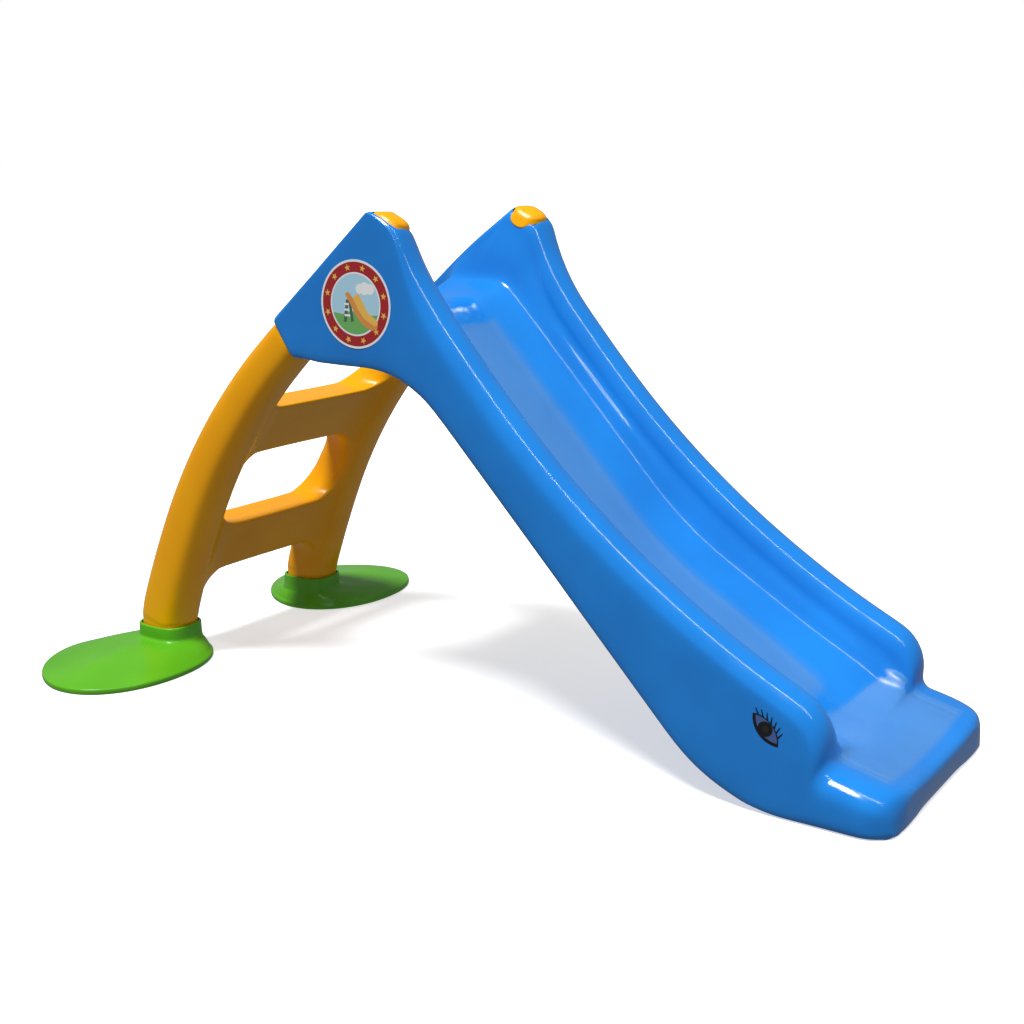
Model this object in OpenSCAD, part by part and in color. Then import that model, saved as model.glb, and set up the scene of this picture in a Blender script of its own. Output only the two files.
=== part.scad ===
// Toddler slide: a one-piece blow-moulded chute with two high side wings, a two-step ladder whose
// rails plug into the wings and show at their peaks, and two wide oval feet on the ladder's legs.
// X runs from the feet (-) to the toe (+), Y across the slide, Z up from the floor.

/* [Chute] */
// Half the chute's outer width
chute_half = 210; // [205:1:215]
// Half the thickness of a hollow side wall, and the radius of its rounded crest
wall_half = 35; // [32:1:36]
// Thickness of the moulded skin of the chute
chute_skin = 3; // [2.5:0.5:4.5]
// Thickness of the sliding bed, where the two skins are pressed together
bed_skin = 6; // [5:1:9]
// Half the width of the flat strip down the middle of the bed
bed_flat = 62; // [50:1:70]
// Height of the ledge on each side of the flat strip
ledge_rise = 20; // [12:1:24]
// Height of the landing above the floor
landing_z = 600; // [596:1:604]

/* [Ladder] */
// Half the width of a ladder rail below the wings, across the slide
rail_half_w = 34; // [32:1:36]
// Half the width of a rail at the foot
leg_half_w = 39; // [36:1:40]
// How far each leg stands outside the line of its wing
leg_splay = 5; // [0:1:6]
// Thickness of the moulded skin of the ladder
ladder_skin = 3.5; // [3:0.5:4]
// Height of the upper tread at its front edge
upper_tread_z = 427; // [420:1:432]
// Height of the lower tread at its front edge
lower_tread_z = 218; // [212:1:224]
// Height of each step's riser
riser_h = 82; // [74:1:88]
// Depth of each tread from front to rear
tread_d = 64; // [58:1:68]

/* [Feet] */
// Half length of a foot across the slide
foot_long = 149; // [144:1:156]
// Reach of a foot from its middle towards the toe
foot_front = 110; // [104:1:116]
// Reach of a foot from its middle to the rear
foot_rear = 138; // [130:1:142]
// Height of the collar that holds the leg
collar_z = 54; // [50:1:60]
// Thickness of the moulded foot
foot_skin = 4; // [3:0.5:5]

/* [Labels] */
// Radius of the round label
label_r = 63; // [50:1:66]
// Thickness of the printed labels
label_t = 0.4; // [0.3:0.1:0.6]
// Length of the printed eye
eye_len = 54; // [48:1:58]
// Height of the printed eye's opening
eye_open = 25; // [20:1:28]

/* [Hidden] */
wall_y = chute_half - wall_half;   // centre of each side wall
wing_slope = 41.3;                 // slope of the wings' back edge and of the rails inside them

// ---- tracks: a start point, a heading, and straight [length, 0] or round [length, turn] pieces ----
function run(p, h, l, a) = abs(a) < 0.01 ? p + l * [cos(h), sin(h)]
    : let (r = l / (a * PI / 180)) p + r * [sin(h + a) - sin(h), cos(h) - cos(h + a)];
function along(track, s, i = 0) =
    let (p = track[0], h = track[1], piece = track[2][i])
    i >= len(track[2]) ? concat(run(p, h, s, 0), h)
    : s <= piece[0] ? concat(run(p, h, s, piece[1] * s / piece[0]), h + piece[1] * s / piece[0])
    : along([run(p, h, piece[0], piece[1]), h + piece[1], track[2]], s - piece[0], i + 1);
function at(track, s) = let (q = along(track, s)) [q[0], q[1]];
function unit(v) = v / norm(v);
function mix(a, b, t) = a + (b - a) * t;
function clamp(v, lo, hi) = min(max(v, lo), hi);
function ease(t) = let (c = clamp(t, 0, 1)) c * c * (3 - 2 * c);

// The chute's side view: back edge, peak, sliding crest, rounded nose and toe lip
crest = [[-284, 582], wing_slope, [[240, 0], [10, -67.3], [30, 0], [28, -44], [55, 12],
    [97, 9.3], [75, 0], [480, 18.7], [130, 5], [86, -74], [26, 88], [52.4, -4], [57, -79], [14, 0]]];
// Its underside: under the wing, the bend, the straight slope and the belly that meets the floor
belly = [[-245, 523], -1.5, [[135, 0], [135, -44.3], [550, 0], [193.5, 45.8], [130, 0]]];
// The middle of the bed: landing, roll, slope, run-out, crease and toe plate
bed = [[-262, landing_z], 0, [[134, 0], [50, -46.5], [395, 0], [120, 16], [293, 0], [22, 23],
    [150, 0]]];
// Ribs across the chute: distances along the crest and the belly, and ribs up to the next row
rib_rows = [[0, 0, 4], [112, 22, 3], [240, 48, 1], [252, 58, 2], [294, 98, 1], [305, 110, 4],
    [462, 200, 2], [537, 276, 2], [700, 448, 4], [1017, 796, 3], [1147, 942, 5], [1233, 1010, 4],
    [1259, 1050, 2], [1311, 1094, 5], [1370, 1130, 1], [1380, 1134, 0]];
ribs = [for (k = [0:len(rib_rows) - 2]) let (a = rib_rows[k], b = rib_rows[k + 1])
    for (i = [0:a[2] - 1]) [mix(a[0], b[0], i / a[2]), mix(a[1], b[1], i / a[2])],
    [1380, 1134]];
rib_n = len(ribs);
landing_rib = 4;          // first rib that carries the landing
cavity_end = rib_n - 5;   // last rib of the hollow inside each side wall
cap_from = 8;             // ribs on either side of the opening at a peak
cap_to = 10;
hole_lo = 6;              // ring points on either side of that opening
hole_hi = 10;
ring_n = 19;
toe_x = 650;              // where the toe's rounded corners start in plan
toe_corner = 50;

// Depth, below the crest, at which a rib crosses the bed
function cross2(a, b) = a[0] * b[1] - a[1] * b[0];
function meet(p, d, lo, hi, n = 22) = let (m = (lo + hi) / 2)
    n == 0 ? m : cross2(d, at(bed, m) - p) > 0 ? meet(p, d, lo, m, n - 1) : meet(p, d, m, hi, n - 1);
function bed_depth(p, d) = (at(bed, meet(p, d, 0, 1180)) - p) * d;

// Narrowing of the toe in plan, from 1 to the straight part of its front edge
function toe_scale(x) = x <= toe_x ? 1
    : (chute_half - toe_corner + sqrt(max(toe_corner * toe_corner - pow(x - toe_x, 2), 9)))
      / chute_half;

// One ring round a side wall, as [y, depth] pairs: ledge, inner wall, crest, outer wall, underside
function ring(foot_y, in_y, out_y, top, bottom, r, ledge, under) =
    let (ri = min(r, 0.55 * (ledge - top)), ro = min(r, 0.45 * (bottom - top)),
         drop = min(18, 0.4 * (ledge - top)))
    [[foot_y[0], ledge], [foot_y[1], ledge - drop / 3], [foot_y[2], ledge - drop],
     [(foot_y[2] + in_y) / 2, (ledge - drop + top + ri) / 2],
     for (a = [0:22.5:67.5]) [in_y + r * (1 - cos(a)), top + ri * (1 - sin(a))],
     [(in_y + out_y) / 2, top],
     for (a = [67.5:-22.5:0]) [out_y - r * (1 - cos(a)), top + ro * (1 - sin(a))],
     [out_y, bottom - 12], [out_y - 3.5, bottom - 3.5], [out_y - 12, bottom],
     [mix(in_y, out_y, 0.45), bottom], [foot_y[3], bottom], [foot_y[4], under]];

// The measures of one rib: crest point, direction, length, crest radius, bed and underside depths
function rib_at(i) = let (p = at(crest, ribs[i][0]), q = at(belly, ribs[i][1]), d = unit(q - p),
    l = norm(q - p), on = i >= landing_rib, raw = bed_depth(p, d),
    b = on ? clamp(raw, 2.5, l - 3) : 0.7 * l,
    closed = i == landing_rib || i >= rib_n - 4,
    u = on ? (closed ? l - 1 : min(b + bed_skin, l - 1)) : 0.8 * l)
    [p, d, l, mix(10, wall_half, ease((ribs[i][0] - 120) / 120)), b, u, on];
function skin_ring(m) = let (rise = m[6] ? min(ledge_rise, 0.55 * m[4]) : 0,
    in_y = wall_y - wall_half)
    ring(m[6] ? [in_y - 30, in_y - 18, in_y - 11, in_y - 3, in_y - 14]
              : [for (k = [0:4]) in_y - 6], in_y, chute_half, 0, m[2], m[3], m[4] - rise, m[5]);
function cavity_ring(m) = let (in_y = wall_y - wall_half + chute_skin,
    depth = clamp(m[4] * 0.8, 0.3 * m[2], 0.75 * m[2]))
    ring([for (k = [0:4]) in_y - (m[6] ? 7 : 2)], in_y, chute_half - chute_skin, chute_skin,
         m[2] - chute_skin, m[3] - chute_skin + 2, depth, mix(depth, m[2] - chute_skin, 0.5));
function place(m, yd, side) = let (p = m[0] + m[1] * yd[1])
    [p[0], side * yd[0] * toe_scale(p[0]), max(p[1], 0)];

// ---- faces over grids of points: rows of n points, joined round or open ----
function quad(a, b, c, d, flip) = flip ? [[c, b, a], [d, c, a]] : [[a, b, c], [a, c, d]];
function strip(first, n, rows, from, to, flip, skip = [[-1, -1, -1, -1]]) =
    [for (i = [0:rows - 2]) for (j = [from:to - 1])
        if (len([for (h = skip) if (i >= h[0] && i < h[1] && j >= h[2] && j < h[3]) 1]) == 0)
        each quad(first + i * n + j, first + (i + 1) * n + j,
                  first + (i + 1) * n + (j + 1) % n, first + i * n + (j + 1) % n, flip)];
function band(a, b, flip, closed = true) = [for (k = [0:len(a) - (closed ? 1 : 2)])
    each quad(a[k], b[k], b[(k + 1) % len(b)], a[(k + 1) % len(a)], flip)];
function fan(loop, tip, flip) = [for (k = [0:len(loop) - 1])
    flip ? [tip, loop[(k + 1) % len(loop)], loop[k]] : [loop[k], loop[(k + 1) % len(loop)], tip]];
function mean(pts) = [for (a = [0:2]) [for (p = pts) p[a]] * [for (p = pts) 1] / len(pts)];

bed_cols = [bed_flat, bed_flat / 2, 0, -bed_flat / 2, -bed_flat];
module chute() {
    rows = [for (i = [0:rib_n - 1]) rib_at(i)];
    skins = [for (side = [1, -1]) for (m = rows) for (yd = skin_ring(m)) place(m, yd, side)];
    hollows = [for (side = [1, -1]) for (i = [0:cavity_end]) for (yd = cavity_ring(rows[i]))
        place(rows[i], yd, side)];
    on_rows = [for (i = [landing_rib:rib_n - 1]) rows[i]];
    tops = [for (m = on_rows) for (y = bed_cols) place(m, [y, m[4]], 1)];
    unders = [for (m = on_rows) for (y = bed_cols) place(m, [y, m[5]], 1)];
    skin_at = [0, rib_n * ring_n];
    hollow_n = (cavity_end + 1) * ring_n;
    hollow_at = [2 * rib_n * ring_n, 2 * rib_n * ring_n + hollow_n];
    top_at = hollow_at[1] + hollow_n;
    under_at = top_at + len(tops);
    tips_at = under_at + len(unders);
    bed_n = len(on_rows);
    tips = [for (s = [0, 1]) mean([for (j = [0:ring_n - 1])
        hollows[s * hollow_n + cavity_end * ring_n + j]])];
    hole = [[cap_from, cap_to, hole_lo, hole_hi]];
    // the opening's edge, once round, on a grid that starts at point f
    function edge(f) = [for (i = [cap_from:cap_to]) f + i * ring_n + hole_lo,
        for (j = [hole_lo + 1:hole_hi]) f + cap_to * ring_n + j,
        for (i = [cap_to - 1:-1:cap_from]) f + i * ring_n + hole_hi,
        for (j = [hole_hi - 1:-1:hole_lo + 1]) f + cap_from * ring_n + j];
    function loop(f, i) = [for (j = [0:ring_n - 1]) f + i * ring_n + j];
    function row(f, k) = [for (j = [0:4]) f + k * 5 + j];
    // a bed row from the right-hand ring's point j to the left-hand ring's
    function across(f, k, j) = concat(skin_at[0] + (k + landing_rib) * ring_n + j, row(f, k),
        skin_at[1] + (k + landing_rib) * ring_n + j);
    faces = [
        for (s = [0, 1]) let (f = skin_at[s], g = hollow_at[s], flip = s == 0) each concat(
            strip(f, ring_n, rib_n, 0, ring_n - 1, flip, hole),
            strip(f, ring_n, landing_rib + 1, ring_n - 1, ring_n, flip),
            strip(g, ring_n, cavity_end + 1, 0, ring_n, !flip, hole),
            band(loop(f, 0), loop(g, 0), !flip), band(edge(f), edge(g), !flip),
            fan(loop(g, cavity_end), tips_at + s, flip)),
        for (k = [0:bed_n - 2]) each band(across(top_at, k, 0), across(top_at, k + 1, 0), false, false),
        for (k = [0:bed_n - 2])
            each band(across(under_at, k, ring_n - 1), across(under_at, k + 1, ring_n - 1), true, false),
        each band(across(top_at, 0, 0), across(under_at, 0, ring_n - 1), true, false),
        each band(across(top_at, bed_n - 1, 0), across(under_at, bed_n - 1, ring_n - 1), false, false),
        for (s = [0, 1]) each fan(loop(skin_at[s], rib_n - 1), tips_at + 2 + s, s == 1)
    ];
    ends = [for (s = [0, 1]) mean([for (j = [0:ring_n - 1])
        skins[s * rib_n * ring_n + (rib_n - 1) * ring_n + j]])];
    color("dodgerblue") polyhedron(concat(skins, hollows, tops, unders, tips, ends), faces, 6);
}

// ---- ladder: two hollow rails joined by two hollow steps, open at the bottom of the legs ----
mouth = (crest[0] + belly[0]) / 2;       // middle of a wing's mouth
socket_len = 262;                        // from the mouth up to the opening at the peak
rail = [mouth + socket_len * [cos(wing_slope), sin(wing_slope)], 180 + wing_slope,
    [[socket_len, 0], [388, 24.7], [165, 5], [45, 19], [39, 0]]];
rail_end = 899;
// Rail stations: distance from the tip, half depth, half width, shift towards the wing's back edge,
// and the line that the section lies on: 0 square to the rail, 1 the peak's flat, 2 the wing's mouth
plug = [[-4, 12, 13.5, 8.4, 1], [2, 17, 19, 8.4, 1], [20, 18.5, 20.5, 8, 1], [60, 21, 24, 5, 0],
    [150, 25, 28, 2, 0], [235, 28.5, 29.6, 0, 0], [243, 30, 30.4, 0, 0], [262.6, 30, 30.4, 0, 2],
    [262.6, 34, rail_half_w, 0, 2]];
// Stretches of rail, each a start, an end and a count of stations
stretches = [[285, 335, 2], [365, 585, 8], [610, 808, 8], [830, 847, 2], [850, rail_end, 3]];
shoulder = 8;             // the wide station at the wing's mouth
behind = [plug[7][0] + 2 * ladder_skin, plug[7][1], plug[7][2], 0, 0];   // the hollow's step there
in_collar = 849;          // distance from the tip below which the leg is slimmer, inside the collar
function half_depth(s) = s < 560 ? mix(34, 39, (s - socket_len) / 298) : mix(39, 43, min(1, (s - 560) / 270));
function half_width(s) = mix(rail_half_w, leg_half_w, ease((s - socket_len) / 560));
stations = concat(plug, [for (w = stretches) for (k = [0:w[2] - 1])
    let (s = mix(w[0], w[1], k / (w[2] - 1)), inside = s > in_collar ? 1 : 0)
    [s, half_depth(s) - inside, half_width(s) - inside, 0, 0]]);
upper_rows = [11, 18];    // stations between which the upper step leaves the rail
lower_rows = [19, 26];
ring_m = 20;
step_lo = 7;              // ring points on the rail's inner side that the steps grow from
step_hi = 13;
hollow_from = 2;          // first station of the rail's hollow
fillet_angles = [18:18:90];
step_y = 78;              // where a step's fillets end, from the middle

function section(p, dir, q, cy, shrink) = let (back = [-sin(wing_slope), cos(wing_slope)] * q[3],
    c = [p[0], p[1]] + back)
    [for (j = [0:ring_m - 1]) let (a = 360 * j / ring_m, u = cos(a), v = sin(a),
        y = round_corner(u, 0.67) * (q[2] - shrink),
        e = round_corner(v, 0.67) * (q[1] - shrink))
        [c[0] + dir[0] * e, cy + y, c[1] + dir[1] * e]];
function rail_ring(q, shrink) = let (p = along(rail, q[0]),
    lines = [[-sin(p[2]), cos(p[2])], [cos(26), -sin(26)], unit(belly[0] - crest[0])])
    section(p, lines[q[4]], q, wall_y + leg_splay * ease((q[0] - socket_len) / 600), shrink);

// A step's section: tread front, tread rear, underside rear, underside front, drawn in by k
function step_corners(z, rows, k) = let (top = along(rail, stations[rows[0] + 3][0]),
    low = along(rail, stations[rows[1] - 2][0]), front = [mix(top[0], top[0] + tread_d, 0.5), z],
    fall = riser_h * [(low[0] - top[0]) / (top[1] - low[1]), -1], rear = front + [-tread_d, 7],
    pts = [front, rear, rear + fall * 0.95, front + fall], mid = (pts[0] + pts[2]) / 2)
    [for (p = pts) mix(p, mid, k)];
function step_loop(c, n) = concat([for (k = [0:n]) mix(c[0], c[3], k / n)],
    [for (k = [1:6]) mix(c[3], c[2], k / 6)], [for (k = [1:n]) mix(c[2], c[1], k / n)],
    [for (k = [1:5]) mix(c[1], c[0], k / 6)]);
// The same loop on a rail's grid that starts at point f: down the front, across and up the rear
function patch(f, rows) = concat([for (i = [rows[0]:rows[1]]) f + i * ring_m + step_lo],
    [for (j = [step_lo + 1:step_hi]) f + rows[1] * ring_m + j],
    [for (i = [rows[1] - 1:-1:rows[0]]) f + i * ring_m + step_hi],
    [for (j = [step_hi - 1:-1:step_lo + 1]) f + rows[0] * ring_m + j]);

module ladder() {
    n = len(stations);
    function mirrored(pts) = [for (p = pts) [p[0], -p[1], p[2]]];
    skin = [for (q = stations) each rail_ring(q, 0)];
    hollow = [for (i = [0:n - 1]) each rail_ring(i == shoulder ? behind : stations[i], ladder_skin)];
    steps = [[upper_tread_z, upper_rows], [lower_tread_z, lower_rows]];
    // loops of one step, from the right-hand rail to the left-hand one
    function loops(pts, st, k) = let (target = step_loop(step_corners(st[0], st[1], k), 7),
        ids = patch(0, st[1]), half = [for (a = fillet_angles) [for (i = [0:len(ids) - 1])
            let (p = pts[ids[i]], c = mix([p[0], p[2]], target[i], sin(a)))
            [c[0], mix(p[1], step_y, 1 - cos(a)), c[1]]]])
        concat(half, [for (i = [len(half) - 1:-1:0]) mirrored(half[i])]);
    loop_n = 26;
    loop_rows = 10;
    skin_loops = [for (st = steps) each [for (l = loops(skin, st, 0)) each l]];
    hollow_loops = [for (st = steps) each [for (l = loops(hollow, st, 0.13)) each l]];
    size = n * ring_m;
    bases = [0, size, 2 * size, 3 * size];      // skin right, skin left, hollow right, hollow left
    loops_at = [4 * size, 4 * size + len(skin_loops)];
    tips_at = loops_at[1] + len(hollow_loops);
    cuts = [for (st = steps) [st[1][0], st[1][1], step_lo, step_hi]];
    function ring_of(f, i) = [for (j = [0:ring_m - 1]) f + i * ring_m + j];
    function walk(f) = [for (k = [0:loop_rows - 1]) [for (i = [0:loop_n - 1]) f + k * loop_n + i]];
    tip = at(rail, -6.5) + 8.4 * [-sin(wing_slope), cos(wing_slope)];
    core = at(rail, 21) + 8 * [-sin(wing_slope), cos(wing_slope)];
    tips = [for (x = [tip, core]) for (side = [1, -1]) [x[0], side * wall_y, x[1]]];
    faces = [
        for (s = [0, 1]) each concat(
            strip(bases[s], ring_m, n, 0, ring_m, s == 1, cuts),
            [for (q = strip(bases[2 + s], ring_m, n, 0, ring_m, s == 0, cuts))
                if (min(q) >= bases[2 + s] + hollow_from * ring_m) q],
            band(ring_of(bases[s], n - 1), ring_of(bases[2 + s], n - 1), s == 1),
            fan(ring_of(bases[s], 0), tips_at + s, s == 1),
            fan(ring_of(bases[2 + s], hollow_from), tips_at + 2 + s, s == 0)),
        for (w = [0, 1]) for (k = [0, 1]) let (f = loops_at[w] + k * loop_n * loop_rows,
            rows = concat([patch(bases[2 * w], steps[k][1])], walk(f),
                [patch(bases[2 * w + 1], steps[k][1])]))
            for (i = [0:len(rows) - 2]) each band(rows[i], rows[i + 1], w == 0)
    ];
    color("orange") polyhedron(concat(skin, mirrored(skin), hollow, mirrored(hollow), skin_loops,
        hollow_loops, tips), faces, 6);
}

// ---- feet: a domed oval plate, hollow underneath, with a collar that holds the leg ----
leg = at(rail, rail_end);
foot_middle = [foot_rear - 700, 270];
socket_gap = 1.5;
loop_f = 40;
function round_corner(v, power) = sign(v) * pow(abs(v), power);
function oval(inset) = [for (k = [0:loop_f - 1]) let (a = 360 * k / loop_f,
    ahead = cos(a) > 0, power = ahead ? 0.93 : 1.12, reach = (ahead ? foot_front : foot_rear) - inset)
    foot_middle + [reach * round_corner(cos(a), power),
        (foot_long - inset) * round_corner(sin(a), power)]];
function sleeve(grow) = [for (k = [0:loop_f - 1]) let (a = 360 * k / loop_f, u = cos(a), v = sin(a))
    [leg[0] + round_corner(u, 0.67) * (42 + grow),
     wall_y + leg_splay + round_corner(v, 0.67) * (leg_half_w - 1 + grow)]];
function lift(pts, z) = [for (p = pts) [p[0], p[1], z]];
function blend(a, b, t) = [for (k = [0:len(a) - 1]) mix(a[k], b[k], t)];

module foot(side) {
    wall = socket_gap + foot_skin;
    loops = [lift(sleeve(socket_gap), leg[1]), lift(sleeve(socket_gap), collar_z),
        lift(sleeve(wall), collar_z), lift(sleeve(wall + 0.5), 31),
        lift(blend(oval(3), sleeve(wall), 0.75), 26), lift(blend(oval(3), sleeve(wall), 0.35), 19),
        lift(oval(2.5), 10.5), lift(oval(0), 7), lift(oval(0), 3), lift(oval(2.5), 0),
        lift(oval(7), 0), lift(oval(7), 6), lift(blend(oval(7), sleeve(wall), 0.35), 14.5),
        lift(blend(oval(7), sleeve(wall), 0.75), 21.5), lift(sleeve(wall), 25),
        lift(sleeve(wall), 0)];
    pts = [for (l = loops) for (p = l) [p[0], side * p[1], p[2]]];
    n = len(loops);
    middle = [leg[0], side * (wall_y + leg_splay)];
    color("limegreen") polyhedron(concat(pts, [[middle[0], middle[1], leg[1]],
        [middle[0], middle[1], 0]]), concat(
        strip(0, loop_f, n, 0, loop_f, side > 0),
        fan([for (k = [0:loop_f - 1]) k], n * loop_f, side > 0),
        fan([for (k = [0:loop_f - 1]) (n - 1) * loop_f + k], n * loop_f + 1, side < 0)), 6);
}

// ---- printed labels on the outer faces ----
label_at = [-123.5, 611.5];
eye_at = [530, 117];
module on_side(side) {
    translate([0, side * chute_half, 0]) rotate([90, 0, 0])
        translate([0, 0, side > 0 ? -label_t : 0]) linear_extrude(label_t) children();
}
module label(side) {
    color("firebrick") on_side(side) translate(label_at) circle(label_r, $fn = 96);
}
module eye(side) {
    sag = eye_open / 2;
    bow = (eye_len * eye_len / 4 + sag * sag) / (2 * sag);    // radius of each eyelid
    lash = 8;
    color("black") on_side(side) translate(eye_at) rotate(-47) union() {
        intersection() {
            translate([0, bow - sag]) circle(bow, $fn = 96);
            translate([0, sag - bow]) circle(bow, $fn = 96);
        }
        for (k = [-2:2]) translate([0, sag - bow]) rotate(-17 * k) translate([0, bow - 1])
            polygon([[-1.3, 0], [1.3, 0], [0.5, lash], [-0.5, lash]]);
    }
}

chute();
ladder();
foot(1);  // foot_left
foot(-1);  // foot_right
label(1);  // label_left
label(-1);  // label_right
eye(1);  // eye_left
eye(-1);  // eye_right
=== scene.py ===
"""Toddler slide: moulded skins, printed films, materials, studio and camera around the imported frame.

Lengths in the classes are millimetres in the part's own frame: X towards the toe, Y across, Z up from the
floor. Meshes are made in metres.
"""
import logging
import math
from dataclasses import dataclass, field
from enum import Enum
from typing import Callable, Iterable, Optional, Sequence

import bmesh
import bpy
import numpy as np
from mathutils import Matrix, Vector

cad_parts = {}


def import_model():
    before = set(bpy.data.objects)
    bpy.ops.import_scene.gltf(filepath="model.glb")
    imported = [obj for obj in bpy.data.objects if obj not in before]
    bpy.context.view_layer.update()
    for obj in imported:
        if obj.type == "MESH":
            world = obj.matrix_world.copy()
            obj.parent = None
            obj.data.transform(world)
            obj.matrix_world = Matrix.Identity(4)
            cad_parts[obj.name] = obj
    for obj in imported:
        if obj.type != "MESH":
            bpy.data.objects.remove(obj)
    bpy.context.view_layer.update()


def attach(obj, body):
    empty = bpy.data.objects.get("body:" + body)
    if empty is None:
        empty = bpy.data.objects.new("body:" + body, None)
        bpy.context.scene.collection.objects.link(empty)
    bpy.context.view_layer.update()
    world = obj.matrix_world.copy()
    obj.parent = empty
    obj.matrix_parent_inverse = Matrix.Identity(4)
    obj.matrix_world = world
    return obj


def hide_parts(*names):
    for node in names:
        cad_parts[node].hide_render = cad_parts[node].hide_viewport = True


LOG = logging.getLogger("toddler_slide")
MM = 0.001

Point2 = tuple[float, float]
Point3 = tuple[float, float, float]
Loop = list[int]


class Side(Enum):
    """The two sides of the slide, as the sign of Y."""

    RIGHT = -1
    LEFT = 1


# ---------------------------------------------------------------- small geometry helpers


def mix(a: float, b: float, t: float) -> float:
    """Returns the value a share t of the way from a to b."""
    return a + (b - a) * t


def mix2(a: Point2, b: Point2, t: float) -> Point2:
    """Returns the point a share t of the way from a to b."""
    return (mix(a[0], b[0], t), mix(a[1], b[1], t))


def clamp(v: float, lo: float, hi: float) -> float:
    """Returns v held between lo and hi."""
    return min(max(v, lo), hi)


def ease(t: float) -> float:
    """Returns a smooth step from 0 to 1 as t goes from 0 to 1."""
    c = clamp(t, 0.0, 1.0)
    return c * c * (3.0 - 2.0 * c)


def ramp(v: float, start: float, end: float) -> float:
    """Returns a smooth step from 0 to 1 as v goes from start to end, which may be the lower one."""
    return ease((v - start) / (end - start))


def cosd(a: float) -> float:
    """Returns the cosine of an angle in degrees."""
    return math.cos(math.radians(a))


def sind(a: float) -> float:
    """Returns the sine of an angle in degrees."""
    return math.sin(math.radians(a))


def squarish(v: float, power: float) -> float:
    """Returns v raised to a power with its sign kept, which squares a circle's corners."""
    return math.copysign(abs(v) ** power, v)


@dataclass(frozen=True)
class Track:
    """A side-view outline made of straight and round pieces.

    start is the first point, heading its direction in degrees, and each piece is (length, turn in degrees).
    """

    start: Point2
    heading: float
    pieces: tuple[Point2, ...]

    def along(self, s: float) -> tuple[float, float, float]:
        """Returns x, z and heading at a distance s along the track.

        Args:
            s: Distance from the start; beyond either end the track runs on straight.
        """
        x, z = self.start
        h = self.heading
        for length, turn in self.pieces:
            inside = s <= length
            step = s if inside else length
            bend = turn * step / length
            x, z = self._run(x, z, h, step, bend)
            h += bend
            if inside:
                return x, z, h
            s -= length
        x, z = self._run(x, z, h, s, 0.0)
        return x, z, h

    def at(self, s: float) -> Point2:
        """Returns the point at a distance s along the track."""
        return self.along(s)[:2]

    def crossing(self, past: Callable[[float, float], bool], reach: float, halvings: int = 22) -> Point2:
        """Returns the first point at which a test holds.

        Args:
            past: Test of x and z, false before the point and true beyond it.
            reach: Distance along the track at which the test surely holds.
            halvings: How often the stretch that holds the point is halved.
        """
        lo, hi = 0.0, reach
        for _ in range(halvings):
            m = (lo + hi) / 2
            lo, hi = (lo, m) if past(*self.at(m)) else (m, hi)
        return self.at((lo + hi) / 2)

    @staticmethod
    def _run(x: float, z: float, h: float, length: float, turn: float) -> Point2:
        """Returns the end of one piece that starts at x, z with heading h."""
        if abs(turn) < 0.01:
            return (x + length * cosd(h), z + length * sind(h))
        r = length / math.radians(turn)
        return (x + r * (sind(h + turn) - sind(h)), z + r * (cosd(h) - cosd(h + turn)))


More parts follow.
